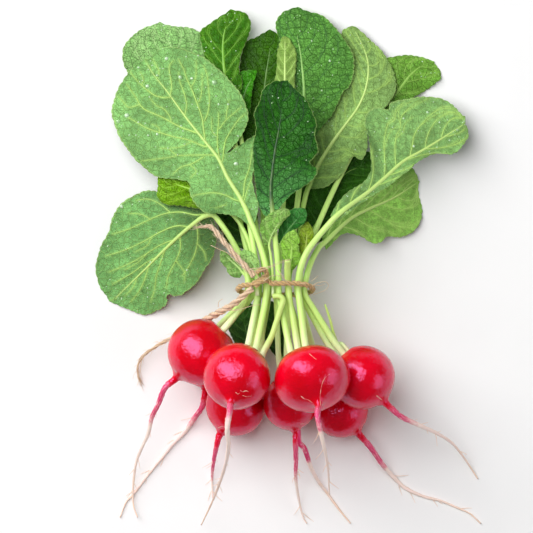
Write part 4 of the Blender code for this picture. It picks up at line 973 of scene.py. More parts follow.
SHEET = (0.2, 0.09)          # mm, half thickness of a blade in the middle and at the margin
TABLE_GAP = 0.02             # mm, lowest point of a piece above the table
SWELL = 0.36                 # mm, rise of a face between its veins
SCALLOP, RUFFLE = 11.3, 13.0     # mm, length of a scallop and of a ruffle of the margin
VEIN_STEP = 0.6              # mm between points of a vein
VEIN_SIDES, STALK_SIDES, HAIR_SIDES = 6, 12, 5   # points round a vein, a stalk and a hair
ROUND_SIDES = 16             # points round the forked root and round a bare stalk
DROP_SIDES = 12              # points round a drop
DROP_RINGS = (22, 45, 68, 90)    # degrees from the top of a drop to its rings

# Lateral veins that the photograph shows: width in mm at both ends and picture places
VEINS = {
    "leaf_front_left": [
        (0.9, 0.35, [(196, 132.5), (179.6, 126.5), (162, 117), (146, 110), (139.5, 104),
                     (135, 96), (126.5, 84)]),
        (0.4, 0.2, [(139.5, 104), (128.6, 107), (123, 101.6), (118, 96)]),
        (0.4, 0.2, [(171, 122), (170, 117), (164, 109), (156, 105), (150, 98)]),
        (0.8, 0.3, [(203.5, 146), (187, 139.5), (175, 137), (160, 132.5), (147, 128),
                    (133, 120), (127.5, 117)]),
        (0.35, 0.2, [(160, 132.5), (158, 127), (152, 124)]),
        (0.6, 0.25, [(208, 155), (192.6, 155), (177, 155), (169, 149), (160, 148)]),
        (0.4, 0.2, [(177, 155), (171, 157), (156, 159), (140.6, 161)]),
        (0.35, 0.2, [(191.5, 142), (179.6, 147), (170, 148)]),
        (0.6, 0.25, [(203.5, 157), (197, 161), (190, 164.5), (181, 167), (173, 174)]),
        (0.35, 0.2, [(190, 164.5), (196, 171), (191, 177)]),
        (0.7, 0.25, [(171, 97), (162, 97), (153.6, 94.5), (141.6, 85), (133, 75.6),
                     (130, 71)]),
        (0.35, 0.2, [(141.6, 85), (143, 79), (140, 72)]),
        (0.9, 0.3, [(205, 139.5), (203.5, 127.6), (202, 117), (197, 103), (191.5, 88.6),
                    (186, 76.6), (184, 70), (178.5, 59)]),
        (0.5, 0.25, [(204.5, 121), (208, 112), (209.4, 99), (208, 84), (207, 74.5),
                     (203.5, 65)]),
        (0.4, 0.2, [(198.6, 102), (201, 95), (202, 84), (202, 73)]),
        (0.4, 0.2, [(191.5, 86), (195, 79), (196, 70), (196, 60)]),
        (0.8, 0.3, [(220, 160), (217.6, 145), (217.6, 133), (218.6, 122), (218.6, 112)]),
        (0.5, 0.25, [(219, 129), (226, 120), (235, 112), (241, 107)]),
        (0.4, 0.2, [(216.5, 136), (212, 130), (212, 118)]),
        (0.4, 0.2, [(226, 119), (227, 110), (229, 100)]),
        (0.7, 0.3, [(223, 159), (224, 149), (226, 139.5), (232, 129), (239, 119),
                    (245, 114)]),
        (0.6, 0.25, [(185, 113.5), (186.6, 105), (185, 96), (182, 87.5), (179.6, 81),
                     (178.5, 72)]),
        (0.6, 0.25, [(170, 95), (171.5, 86), (170, 75.6), (169, 66), (173, 60)]),
        (0.4, 0.2, [(157, 76.6), (159, 71), (156, 65), (152.5, 59)]),
        (0.8, 0.3, [(243.6, 196), (245, 182), (249, 170), (251, 160), (252, 150)]),
        (0.5, 0.25, [(244.6, 200), (248, 188), (252, 178)]),
        (0.7, 0.3, [(235, 200), (225, 195), (214, 193), (202, 194), (193, 196)]),
        (0.4, 0.2, [(226, 205), (216, 208)]),
    ],
    "leaf_left_lower": [
        (0.8, 0.3, [(208, 214), (196, 215), (180, 212), (163, 214), (146, 221), (128, 229),
                    (112, 234)]),
        (0.5, 0.25, [(171, 213), (160, 204), (148, 199), (136, 200)]),
        (0.4, 0.2, [(150, 219), (140, 214), (128, 213)]),
        (0.7, 0.3, [(190, 227), (176, 226), (160, 232), (142, 242), (124, 250), (105, 256)]),
        (0.4, 0.2, [(152, 236), (146, 246), (134, 252)]),
        (0.6, 0.25, [(176, 239), (160, 245), (144, 255), (128, 264), (108, 272)]),
        (0.4, 0.2, [(146, 254), (138, 262), (124, 270)]),
        (0.6, 0.25, [(158, 256), (144, 264), (130, 274), (112, 284)]),
        (0.6, 0.25, [(196, 222), (198, 236), (196, 250), (190, 264), (182, 276)]),
        (0.4, 0.2, [(197, 243), (204, 252), (206, 260)]),
        (0.6, 0.25, [(180, 236), (180, 250), (174, 264), (168, 276), (166, 288)]),
        (0.4, 0.2, [(176, 261), (184, 272), (184, 282)]),
        (0.6, 0.25, [(164, 251), (160, 264), (156, 276), (154, 290), (150, 302)]),
        (0.5, 0.25, [(148, 267), (144, 280), (138, 292), (130, 302)]),
        (0.4, 0.2, [(136, 279), (132, 288), (124, 296)]),
    ],
}

# Large drops: picture place and radius in mm; strewn small drops of each leaf
DROPS = {
    "leaf_front_left": [
        (138, 67, 0.6), (148, 69, 0.45), (166, 58, 1.0), (147, 86, 1.15), (139.5, 81.5, 0.5),
        (157, 75, 0.7), (126.5, 115, 1.15), (138, 122, 0.5), (145, 123, 0.4), (118, 121, 1.0),
        (129, 135, 0.5), (136, 135, 0.45), (148, 135, 0.55), (157, 134, 0.7), (181, 126, 0.6),
        (192, 104, 0.45), (198, 89, 0.4), (208, 103, 0.4), (212, 74, 0.4), (214, 82, 1.3),
        (216, 96, 0.55), (218.6, 104, 0.6), (222, 92, 0.4), (228, 104, 0.6), (180, 77, 1.1),
        (191.5, 78, 0.8), (186, 56, 0.5), (198, 55, 0.4), (184.5, 144, 0.5), (168, 148, 0.5),
        (236, 164, 1.1), (238, 136, 0.5)],
    "leaf_left_lower": [(121, 206, 1.0), (139, 201, 0.5), (116, 222, 0.5), (107, 246, 0.5),
                        (150, 262, 0.6), (175, 246, 0.4), (187, 270, 0.6), (170, 201, 0.5)],
    "leaf_front_right": [(393, 127, 0.5), (428, 112, 0.7), (404, 118, 0.5), (440, 122, 0.5),
                         (414, 146, 0.6), (380, 150, 0.5), (450, 140, 0.5), (387, 118, 0.5)],
    "leaf_top_middle": [(312, 40, 0.5), (330, 60, 0.6), (322, 90, 0.5), (300, 30, 0.4)],
}
DEW = {"leaf_front_left": 90, "leaf_left_lower": 60, "leaf_front_right": 60,
       "leaf_top_middle": 40, "leaf_top_left": 40, "leaf_right_tall": 30,
       "leaf_top_bright": 20, "leaf_middle_dark": 20, "leaf_right_tip": 20}


def look_of(name):
    """Looks of a leaf, with the plain ones where it has none of its own."""
    return {**PLAIN, **LOOKS[name]}


def raised_rows(spec):
    """Rows of a leaf at the heights that its solid has."""
    middle, half, n_s = leaf_grid(spec)
    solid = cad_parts[spec["name"]]
    co = np.array([v.co for v in solid.data.vertices]) / SCALE
    for i, j in np.ndindex(middle.shape[:2]):
        top = middle[i, j] + half[i, j]
        near = np.hypot(co[:, 0] - top[0], co[:, 1] - top[1]) < 0.03
        if near.any():
            middle[i, j, 2] += co[near, 2].max() - top[2]
    return middle, n_s


def blade_rows(middle, n_s):
    """Rows of the blade alone, with one more row that rounds the tip."""
    rows = middle[n_s:]
    centre = (rows[:, 2] + rows[:, 3]) / 2
    left, right = rows[:, 0], rows[:, 5]
    way = unit((centre[-1] - centre[-2])[:2])
    across = unit((right[-1] - left[-1])[:2])
    width = np.linalg.norm((right[-1] - left[-1])[:2])
    tip = (left[-1, :2] + right[-1, :2]) / 2 + way * min(0.3 * width, 1.2)
    centre2 = np.vstack([centre[:, :2], tip])
    left2 = np.vstack([left[:, :2], tip - across * 0.15])
    right2 = np.vstack([right[:, :2], tip + across * 0.15])
    heights = np.vstack([rows[:, :, 2], np.full(6, rows[-1, :, 2].mean())])
    return centre2, left2, right2, heights


class Sheet:
    """Curves of a blade: its middle and its two margins, in even steps."""

    def __init__(self, middle, n_s):
        self.centre, self.left, self.right, self.heights = blade_rows(middle, n_s)
        fine = np.linspace(0, len(self.centre) - 1, 24 * len(self.centre))
        steps = [np.linalg.norm(np.diff(curve_rows(p, fine), axis=0), axis=1)
                 for p in (self.centre, self.left, self.right)]
        run = np.concatenate([[0], np.cumsum(np.max(steps, axis=0))])
        self.count = max(12, int(run[-1] / ROW_STEP))
        self.where = np.interp(np.linspace(0, run[-1], self.count), run, fine)
        self.mid = curve_rows(self.centre, self.where)
        self.run = run_length(self.mid)
        self.edge = {-1: curve_rows(self.left, self.where),
                     1: curve_rows(self.right, self.where)}
        self.half = {k: np.linalg.norm(e - self.mid, axis=1) for k, e in self.edge.items()}

    def at(self, along, side, share):
        """Places at lengths along the midrib and shares of the way to a margin."""
        mid = np.stack([np.interp(along, self.run, self.mid[:, k]) for k in (0, 1)], -1)
        edge = np.stack([np.interp(along, self.run, self.edge[side][:, k])
                         for k in (0, 1)], -1)
        return mid + (edge - mid) * np.asarray(share)[..., None]


def side_veins(sheet, look, rng):
    """Lateral veins that leave the midrib in turn, lean forward and fork."""
    gap, length = look["gap"], sheet.run[-1]
    wide = 0.05 + 0.05 * gap
    out = []
    for side in (-1, 1):
        start = gap * (0.55 if side > 0 else 0.15)
        while start < length * 0.9:
            reach = np.interp(start + 0.4 * gap, sheet.run, sheet.half[side])
            lean, bow = rng.uniform(0.45, 0.8), rng.uniform(0.35, 0.7)

            def line(s, turn=0.0, from_s=0.0):
                along = start + reach * (lean * s + bow * s ** 2 + turn * (s - from_s))
                keep = along < length * 0.975
                return sheet.at(along[keep], side, s[keep])

            out.append((wide, 0.42 * wide, line(np.linspace(0, 0.94, 18))))
            for turn, low in ((0.75, 0.34), (-0.5, 0.5), (0.55, 0.66)):
                from_s = rng.uniform(low, low + 0.14)
                to_s = min(0.95, from_s + rng.uniform(0.26, 0.42))
                out.append((0.6 * wide, 0.3 * wide,
                            line(np.linspace(from_s, to_s, 10), turn * rng.uniform(0.7, 1.2),
                                 from_s)))
            start += gap * rng.uniform(0.8, 1.25)
    return [v for v in out if len(v[2]) > 2]


def rooted(sheet, line):
    """Line of a vein that starts near the midrib, led back to the midrib."""
    off = np.linalg.norm(sheet.mid - line[0], axis=1)
    k = int(off.argmin())
    if off[k] > 4.0 or off[k] < 0.3:
        return line
    back = np.interp(sheet.run[k] - 0.8 * off[k], sheet.run, np.arange(len(sheet.run)))
    return np.vstack([sheet.mid[int(back)], line])


def vein_lines(name, sheet, look, rng):
    """Veins of a blade: width in mm at both ends and places in even steps."""
    if name in VEINS:
        veins = [(w0, w1, rooted(sheet, np.array([place(*p) for p in line])))
                 for w0, w1, line in VEINS[name]]
    else:
        veins = side_veins(sheet, look, rng)
    return [(w0, w1, smooth(line, max(4, int(run_length(line)[-1] / VEIN_STEP))))
            for w0, w1, line in veins]


def cut_margins(sheet, look, fade, rng):
    """Each margin with its outward directions, depth of the cuts, running length and phase."""
    edges = {}
    for side, edge in sheet.edge.items():
        along = run_length(edge)
        tangent = np.gradient(edge, axis=0)
        tangent /= np.maximum(np.linalg.norm(tangent, axis=1, keepdims=True), 1e-9)
        out = np.stack([tangent[:, 1], -tangent[:, 0]], 1) * side
        phase = rng.uniform(0, 6)
        drift = along + 0.9 * np.sin(along * 0.31 + phase)
        tooth = np.abs(np.sin(math.pi * drift / look["tooth"] + phase)) ** 0.7 - 0.55
        scallop = np.sin(2 * math.pi * along / SCALLOP + phase) * 0.25
        edges[side] = (edge, out, look["teeth"] * (tooth + scallop) * fade, along, phase)
    return edges


def sheet_faces(count, width):
    """Quads of the upper grid, then all faces of the sheet and their material numbers."""
    size = count * width
    quads = [(i * width + j, i * width + j + 1, (i + 1) * width + j + 1, (i + 1) * width + j)
             for i in range(count - 1) for j in range(width - 1)]
    faces = quads + [tuple(size + k for k in f[::-1]) for f in quads]
    mats = [1] * len(quads) + [2] * len(quads)
    rim = [i * width for i in range(count - 1, 0, -1)] + list(range(width)) + \
          [i * width + width - 1 for i in range(1, count)] + \
          [(count - 1) * width + j for j in range(width - 2, 0, -1)]
    for a, b in zip(rim, rim[1:] + rim[:1]):
        faces.append((a, b, size + b, size + a))
        mats.append(1)
    return quads, faces, mats


def blade(build, spec, look, rng):
    """Thin sheet with a toothed margin, its veins on it and swollen between them."""
    middle, n_s = raised_rows(spec)
    sheet = Sheet(middle, n_s)
    veins = vein_lines(spec["name"], sheet, look, rng)
    marks = np.vstack([line for _, _, line in veins] + [sheet.mid])
    tree = KDTree(len(marks))
    for k, p in enumerate(marks):
        tree.insert((*p, 0.0), k)
    tree.balance()
    z6 = spread(np.arange(len(sheet.heights)), sheet.heights.T, sheet.where).T
    half_width = max(h.max() for h in sheet.half.values())
    n_c = max(5, int(half_width / COLUMN_STEP))
    share = 1 - (1 - np.linspace(0, 1, n_c + 1)) ** 1.2
    run, count = sheet.run, sheet.count
    fade = np.clip(np.minimum(run / 6.0, (run[-1] - run + 1.0) / 3.0), 0, 1)
    columns = [(-1, s) for s in share[:0:-1]] + [(1, s) for s in share]
    edges = cut_margins(sheet, look, fade, rng)
    signed = np.array([side * s for side, s in columns])
    z_all = spread((-1, -0.55, -0.15, 0.15, 0.55, 1), z6, signed)
    lift = (-1.0 if look["seen"] == "under" else 1.0) * SWELL * min(1.0, look["gap"] / 7)
    cols, near = [], []
    for k, (side, s) in enumerate(columns):
        edge, out, tooth, along, phase = edges[side]
        xy = sheet.mid + (edge - sheet.mid) * s + out * (tooth * s ** 7)[:, None]
        off = np.array([tree.find((*p, 0.0))[2] for p in xy])
        swell = (1 - np.exp(-(off / 1.5) ** 2)) * (1 - s ** 4)
        ripple = 0.07 * np.sin(xy[:, 0] * 1.3 + phase) * np.sin(xy[:, 1] * 1.1 + 2 * phase)
        ruffle = look["ruffle"] * s ** 3 * np.sin(2 * math.pi * along / RUFFLE + phase)
        z = z_all[:, k] + (lift + ripple) * swell + ruffle * fade
        cols.append(np.column_stack([xy, z]))
        near.append(np.minimum(off, 3.0))
    grid = np.stack(cols, 1)
    width = len(columns)
    thick = np.array([SHEET[0] + (SHEET[1] - SHEET[0]) * s ** 2 for _, s in columns])
    top = grid + thick[None, :, None] * (0, 0, 1)
    low = grid - thick[None, :, None] * (0, 0, 1)
    low[:, :, 2] = np.maximum(low[:, :, 2], TABLE_GAP)
    top[:, :, 2] = np.maximum(top[:, :, 2], 0.12)
    quads, faces, mats = sheet_faces(count, width)
    verts = np.vstack([top.reshape(-1, 3), low.reshape(-1, 3)])
    shares = np.tile([s for _, s in columns], 2 * count)
    build.add(verts, faces, mats, share=shares,
              along=np.tile(np.repeat(run / run[-1], width), 2),
              near=np.tile(np.stack(near, 1).reshape(-1), 2))
    face = BVHTree.FromPolygons([tuple(v) for v in top.reshape(-1, 3)], quads)
    sink = 0.1 if look["seen"] == "under" else 0.35
    for w0, w1, line in veins:
        lay_vein(build, face, line, w0 / 2, w1 / 2, sink)
    drops(build, face, sheet, spec["name"], rng)
    return middle, n_s


def on_face(face, x, y):
    """Point of a face right under a place, or None."""
    return face.ray_cast(Vector((x, y, 90.0)), Vector((0, 0, -1)))[0]


def lay_vein(build, face, line, r0, r1, sink, mat=3):
    """Raised line along places on a face, as far as the face goes."""
    route = []
    for x, y in line:
        hit = on_face(face, x, y)
        if hit is None:
            break
        route.append(hit)
    if len(route) < 4:
        return
    radii = np.linspace(r0, r1, len(route)) * np.clip((len(route) - np.arange(len(route)))
                                                      / 3.0, 0.4, 1)
    route = [np.array(p) - (0, 0, sink * r) for p, r in zip(route, radii)]
    verts, faces, _, _ = tube(route, radii, VEIN_SIDES, 0.75)
    build.add(verts, faces, mat)


def drops(build, face, sheet, name, rng):
    """Water drops: the large ones of the photograph and small ones strewn between."""
    spots = [(*place(px, py), r) for px, py, r in DROPS.get(name, ())]
    for _ in range(DEW.get(name, 0)):
        xy = sheet.at(rng.uniform(0.05, 0.97) * sheet.run[-1], rng.choice((-1, 1)),
                      rng.uniform(0.08, 0.95))
        spots.append((*xy, rng.uniform(0.16, 0.36)))
    for x, y, r in spots:
        hit = on_face(face, x, y)
        if hit is None:
            continue
        stretch, turn = rng.uniform(0.8, 1.0), rng.uniform(0, math.pi)
        verts = [(x, y, hit[2] + 0.5 * r)]
        for deg in DROP_RINGS:
            wide, high = math.sin(math.radians(deg)), math.cos(math.radians(deg))
            for j in range(DROP_SIDES):
                a = 2 * math.pi * j / DROP_SIDES
                u, v = math.cos(a) * wide * r, math.sin(a) * wide * r * stretch
                verts.append((x + u * math.cos(turn) - v * math.sin(turn),
                              y + u * math.sin(turn) + v * math.cos(turn),
                              hit[2] - 0.03 + (0.5 * r + 0.03) * high))
        faces = [(0, 1 + j, 1 + (j + 1) % DROP_SIDES) for j in range(DROP_SIDES)]
        for k in range(len(DROP_RINGS) - 1):
            for j in range(DROP_SIDES):
                a = 1 + k * DROP_SIDES + j
                b = 1 + k * DROP_SIDES + (j + 1) % DROP_SIDES
                faces.append((a, a + DROP_SIDES, b + DROP_SIDES, b))
        faces.append(tuple(DROP_SIDES * len(DROP_RINGS) - j for j in range(DROP_SIDES)))
        build.add(verts, faces, 4)


def stalk_and_midrib(build, spec, look, middle, n_s):
    """Stalk from the crown to the blade and on as the tapering midrib."""
    centre = (middle[:, 2] + middle[:, 3]) / 2
    if spec["crown"]:
        out = crown_place(*spec["crown"])[1]
        centre = np.vstack([centre[0] - out * 1.6, centre])
    index = np.arange(len(centre))
    run = run_length(centre)
    count = int(run[-1] / 1.6)
    where = np.interp(np.linspace(0, run[-1], count), run, index)
    xy = curve_rows(centre[:, :2], where)
    z = spread(index, centre[:, 2], where)
    foot = n_s + (1 if spec["crown"] else 0)
    u = np.clip((where - foot) / (len(centre) - 1 - foot), 0, 1)
    t = np.clip(where / foot, 0, 1)
    r_stalk = spec["r"] * (1.0 - 0.25 * t)
    r_rib = (spec["r"] * 0.75 * (1 - u) ** 0.9) * 0.85 + 0.16
    ease = np.clip(u / 0.12, 0, 1)
    radii = r_stalk * (1 - ease) + np.minimum(r_rib, r_stalk) * ease
    flat = 1.0 - ease * (0.1 if look["seen"] == "under" else 0.42)
    route = np.column_stack([xy, np.maximum(z, radii * flat + TABLE_GAP)])
    verts, faces, _, around = tube(route, radii, STALK_SIDES, flat)
    verts[:, 2] = np.maximum(verts[:, 2], TABLE_GAP)
    build.add(verts, faces, 0, stalk=np.repeat(t + u, STALK_SIDES), around=around)


def leaf(spec, water, rng):
    """One leaf with its blade, veins, drops, stalk and midrib."""
    name = spec["name"]
    look = look_of(name)
    build = Build()
    middle, n_s = blade(build, spec, look, rng)
    stalk_and_midrib(build, spec, look, middle, n_s)
    seen_under = look["seen"] == "under"
    if seen_under:
        rib, vein = look["rib"], look["under_vein"]
    else:
        # On leaf_top_middle and leaf_middle_dark these upper colours are dark: painted shadow in
        # the sunken veins, on the vein tubes as well.
        rib, vein = look.get("upper_rib", look["upper_vein"]), look["upper_vein"]
    materials = [stalk_material(name + "_stalk", look["crown"], look["stalk"], rib),
                 leaf_face(name + "_seen", look, seen_under),
                 leaf_face(name + "_back", look, not seen_under),
                 vein_material(name + "_veins", vein), water]
    slot = "leaf_underside" if seen_under else "leaf_upper"
    if name.startswith("young"):
        slot = "young_leaf"
    build.finish(name + "_look", materials, slot, name)


def bulb_profile(spec):
    """Places along the axis and radii of a bulb, from inside the crown to the root."""
    half, radius = spec["a"], spec["r"]
    s, r = [-half * 0.80, -half * 0.845, -half * 0.90, -half * 0.93], \
           [0.3, radius * 0.14, radius * 0.21, radius * 0.28]
    for deg in (24, 30, 36, 44, 53, 61, 69, 76, 83, 90, 97, 104, 112, 120, 128, 136, 144,
                151, 157):
        s.append(-half * math.cos(math.radians(deg)))
        r.append(radius * math.sin(math.radians(deg)))
    s += [half * 0.985, half * 1.07]
    r += [radius * 0.24, max(radius * 0.125, 1.7)]
    return np.array(s), np.array(r)


# Length of the red and of the pink stretch of each taproot, in mm
ROOT_TONES = {
    "radish_left": (3, 20), "radish_hidden_left": (4, 14), "radish_front_left": (0.5, 3),
    "radish_lower_left": (5, 18), "radish_front_right": (1.5, 8),
    "radish_lower_middle": (4, 18), "radish_right": (2, 11), "radish_lower_right": (3, 16),
}
RING = 44                    # points round a bulb
BULB_ROWS, ROOT_ROWS = 84, 90    # rings of a bulb and of a taproot
ROOTLETS = 7                 # side roots on each taproot


def root_route(name):
    """Dense route and radii of a taproot, as its solid has them."""
    spec, tail = RADISHES[name], TAPROOTS[name]
    centre, root = radish_axis(name)
    pole = centre + root * spec["a"] * 1.16
    route_xy = [(pole[0], pole[1])] + [place(*p) for p in tail["route"]]
    xy = smooth(route_xy, ROOT_ROWS, 1.15)
    slope = root[2] / max(math.hypot(root[0], root[1]), 0.2)
    z = tail_heights(xy, pole[2], slope, tail["drop"], tail["end"])
    radii = ROOT_R[0] + (ROOT_R[1] - ROOT_R[0]) * np.linspace(0, 1, ROOT_ROWS) ** 0.8
    return np.column_stack([xy, np.maximum(z, radii)]), radii


# Pale scars and fine root hairs on the bulbs: picture places and width in mm
SCARS = {
    "radish_front_left": [([(240.5, 389), (243, 390.4), (246, 389.4), (249, 390.6)], 0.5),
                          ([(236, 391), (238.4, 392.6), (240, 391.6)], 0.35),
                          ([(243, 394), (247, 395.4), (252, 394.6)], 0.3)],
    "radish_front_right": [([(320, 404), (319.6, 394), (321.6, 382), (325.6, 375), (331.6, 372)],
                            0.36),
                           ([(301, 395), (304, 397.4), (308, 398.6), (312, 401.4)], 0.4),
                           ([(309, 353), (313, 356.4), (316, 358.6)], 0.3),
                           ([(322, 410), (326, 409), (332, 409.6), (337, 408)], 0.3)],
    "radish_left": [([(166, 365), (170, 369), (172, 374)], 0.3)],
    "radish_right": [([(376, 395), (379, 397.4), (382, 400)], 0.5)],
    "radish_lower_left": [([(218, 428), (222, 426.4), (225, 427.4)], 0.35)],
    "radish_lower_middle": [([(300, 424), (305, 423), (309, 423.6)], 0.3)],
}


def scar_material():
    """Pale, dull skin of scars and root hairs."""
    mat, tree, shader, where = new_material("scar", 0.5, specular=0.3)
    tone = limits(tree, noise(tree, where, 400.0, 2.0), 0.35, 0.65)
    tree.links.new(mix(tree, tone, linear(226, 90, 100), linear(246, 196, 176)),
                   shader.inputs["Base Color"])
    return mat


def radish(name, skin, scar, rng):
    """Bulb and taproot as one skin, and the fine rootlets."""
    spec = RADISHES[name]
    centre, root = radish_axis(name)
    s, r = bulb_profile(spec)
    fine = np.linspace(0, len(s) - 1, BULB_ROWS)
    s, r = spread(np.arange(len(s)), np.vstack([s, r]), fine)
    route, r_root = root_route(name)
    spine = [centre + root * v for v in s] + list(route)
    radii = np.concatenate([r, r_root])
    n_bulb = len(s)
    frames = tube_frames(spine, root)
    phase = rng.uniform(0, 6, 8)
    run = np.concatenate([np.zeros(n_bulb), run_length(route) + 1.0])
    red, pink = ROOT_TONES[name]
    verts, tone, around = [], [], []
    for i, (p, (across, lift), rad) in enumerate(zip(spine, frames, radii)):
        body = min(1.0, rad / 6.0)
        for j in range(RING):
            a = 2 * math.pi * j / RING
            lump = 0.012 * math.sin(3 * a + phase[0]) * math.sin(i * 0.07 + phase[1])
            lump += 0.009 * math.sin(5 * a + phase[2] + i * 0.05)
            lump += 0.005 * math.sin(9 * a + phase[3]) * math.cos(i * 0.17 + phase[4])
            if i >= n_bulb:
                lump = 0.10 * math.sin(2 * a + i * 0.4) * math.sin(i * 0.9 + phase[5])
                lump += 0.07 * math.sin(i * 2.1 + phase[6])
            here = rad * (1 + lump * (body if i < n_bulb else 0.8))
            verts.append(p + across * here * math.cos(a) + lift * here * math.sin(a))
            verts[-1][2] = max(verts[-1][2], TABLE_GAP)
            around.append(math.cos(a))
            if i < n_bulb:
                tone.append(min(1, i / 12) - 1.0)
            else:
                tone.append(np.interp(run[i], (0, red, red + 3, pink + 2, pink + 10, 90),
                                      (0.05, 0.45, 1.0, 1.25, 2.0, 2.9)))
    build = Build()
    faces = tube_faces(len(spine), RING)
    build.add(verts, faces, 0, tone=tone, around=around)
    if name == "radish_lower_middle":
        fork(build, route)
    face = BVHTree.FromPolygons([tuple(v) for v in verts], faces)
    rootlets(build, route, rng)
    for line, wide in SCARS.get(name, ()):
        marks = smooth([place(*q) for q in line], 10)
        lay_vein(build, face, marks, wide / 2, wide / 3, 0.2, 1)
    build.finish(name + "_look", [skin, scar], "radish_skin", name)


def fork(build, main):
    """Second root of the forked radish."""
    p = main[0]
    xy = smooth([(p[0] + 0.4, p[1] + 2.0), (p[0] + 1.4, p[1] - 3.6)]
                + [place(*q) for q in FORK_ROUTE], 80, 1.1)
    z = tail_heights(xy, p[2], 0.0, 34, 0.6)
    share = np.linspace(0, 1, 80)
    radii = ROOT_R[0] + (ROOT_R[1] - ROOT_R[0]) * share ** 0.8
    route = np.column_stack([xy, np.maximum(z, radii)])
    verts, faces, run, around = tube(route, radii * 1.05, ROUND_SIDES)
    tone = np.interp(run, (0, 17, 20, 60), (0.7, 1.0, 2.0, 2.9))
    build.add(verts, faces, 0, tone=tone, around=around)


def rootlets(build, route, rng):
    """Fine side roots, cream and soft, that start on the taproot."""
    n = len(route)
    for _ in range(ROOTLETS):
        i = int(rng.uniform(0.18, 0.9) * n)
        way = unit(route[min(i + 1, n - 1)] - route[i - 1])
        side = unit(np.cross(way, (0, 0, 1))) * rng.choice((-1, 1))
        length = rng.uniform(3, 9)
        bend = rng.uniform(-0.3, 0.3)
        points = []
        for u in np.linspace(0, 1, 8):
            p = route[i] + (way * 0.75 + side * (0.45 + bend * u)) * length * u
            p[2] = max(0.2, route[i][2] - 0.35 * length * u ** 2)
            points.append(p)
        verts, faces, _, _ = tube(points, np.linspace(0.2, 0.07, 8), HAIR_SIDES)
        build.add(verts, faces, 0, tone=2.6, around=0.0)


STUB_ROWS = 60               # rings of a bare stalk


def stub_look(name, mat):
    """Leaf stalk without a blade, cut across at its end."""
    spec = STUBS[name]
    foot, out = crown_place(*spec["crown"])
    points = [foot - out * 1.2, foot + out * 4.0] + [np.array(p)
                                                     for p in route3(spec["route"])]
    route = smooth(points, STUB_ROWS)
    radii = np.linspace(spec["r"][0], spec["r"][1], STUB_ROWS)
    ridges = 1 + 0.05 * np.sin(np.linspace(0, 9, STUB_ROWS))
    verts, faces, run, around = tube(route, radii * ridges, ROUND_SIDES)
    build = Build()
    build.add(verts, faces, 0, stalk=run / run[-1] * 0.9, around=around)
    build.finish(name + "_look", [mat], "leaf_stalk", name)


TWINE_SIDES = 36             # points round the twine
TWINE_STEP = 0.4             # mm between rings of the twine


def twine(name, points, mat, node, turns, widths):
    """Three plies of jute along a route, with mm to a turn and radii in mm."""
    length = run_length(points)[-1]
    count = int(length / TWINE_STEP)
    route = smooth(points, count)
    frames = tube_frames([np.array(p) for p in route], unit(route[1] - route[0]))
    run = run_length(route)
    radii = np.interp(run / length, np.linspace(0, 1, len(widths)), widths)
    verts, around, groove = [], [], []
    for p, (across, lift), s, radius in zip(route, frames, run, radii):
        turn = 2 * math.pi * s / turns
        reach, ply = 0.44 * radius, 0.56 * radius
        loose = 1 + 0.07 * math.sin(s * 1.3) + 0.05 * math.sin(s * 2.9 + 1)
        for j in range(TWINE_SIDES):
            a = 2 * math.pi * j / TWINE_SIDES
            off = (a - turn + math.pi / 3) % (2 * math.pi / 3) - math.pi / 3
            out = reach * math.cos(off) + math.sqrt(ply ** 2 - (reach * math.sin(off)) ** 2)
            out *= loose * (1 + 0.035 * math.sin(6 * off + 0.8 * s)
                            + 0.03 * math.sin(5 * (a - turn) + 2.1 * s))
            spot = p + across * out * math.cos(a) + lift * out * math.sin(a)
            spot[2] = max(spot[2], 0.03)
            verts.append(spot)
            around.append(math.sin(a - turn) + 0.4 * s / turns)
            groove.append(max(0.0, (abs(off) - 0.55) / 0.5))
    build = Build()
    build.add(verts, tube_faces(count, TWINE_SIDES), 0, run=np.repeat(run, TWINE_SIDES),
              around=around, groove=groove)
    return build.finish(name, [mat], "jute_twine", node)


def fibres(mat, rng):
    """Loose fibres of the twine: the long ones of the photograph and short fuzz."""
    build = Build()

    def hair(points, r0, r1, count=14):
        verts, faces, run, around = tube(smooth(points, count), np.linspace(r0, r1, count),
                                         HAIR_SIDES)
        build.add(verts, faces, 0, run=run, around=around)

    for route in FIBRES:
        hair(route3(route), 0.17, 0.08, 22)
    lines = [loop_route(), smooth(route3(TAIL_SHORT), 40), smooth(route3(TAIL_LONG), 60)]
    for line in lines:
        for _ in range(int(len(line) * 1.6)):
            i = rng.integers(1, len(line) - 1)
            way = unit(line[i + 1] - line[i - 1])
            out = unit(np.cross(way, rng.normal(size=3)))
            reach = rng.uniform(1.2, 3.4)
            points = [line[i] + out * 0.7]
            points.append(line[i] + out * (0.9 + 0.3 * reach) + way * 0.5 * reach)
            points.append(line[i] + out * (0.9 + 0.45 * reach) + way * reach)
            points = [np.array([p[0], p[1], max(p[2], 0.2)]) for p in points]
            hair(points, 0.07, 0.035, 6)
    for line, spread_mm in ((lines[1], 2.6), (lines[2], 2.2)):
        end, way = line[-1], unit(line[-1] - line[-4])
        for _ in range(12):
            turn = rng.normal(size=3) * 0.35
            tip = end + (way + turn) * spread_mm * rng.uniform(0.6, 1.6)
            tip[2] = max(tip[2], 0.2)
            back = end - way * rng.uniform(1, 4) + rng.normal(size=3) * 0.35
            back[2] = max(back[2], 0.3)
            hair([back, end + turn * 0.8, tip], 0.13, 0.05, 7)
    build.finish("twine_fibres", [mat], "jute_twine")


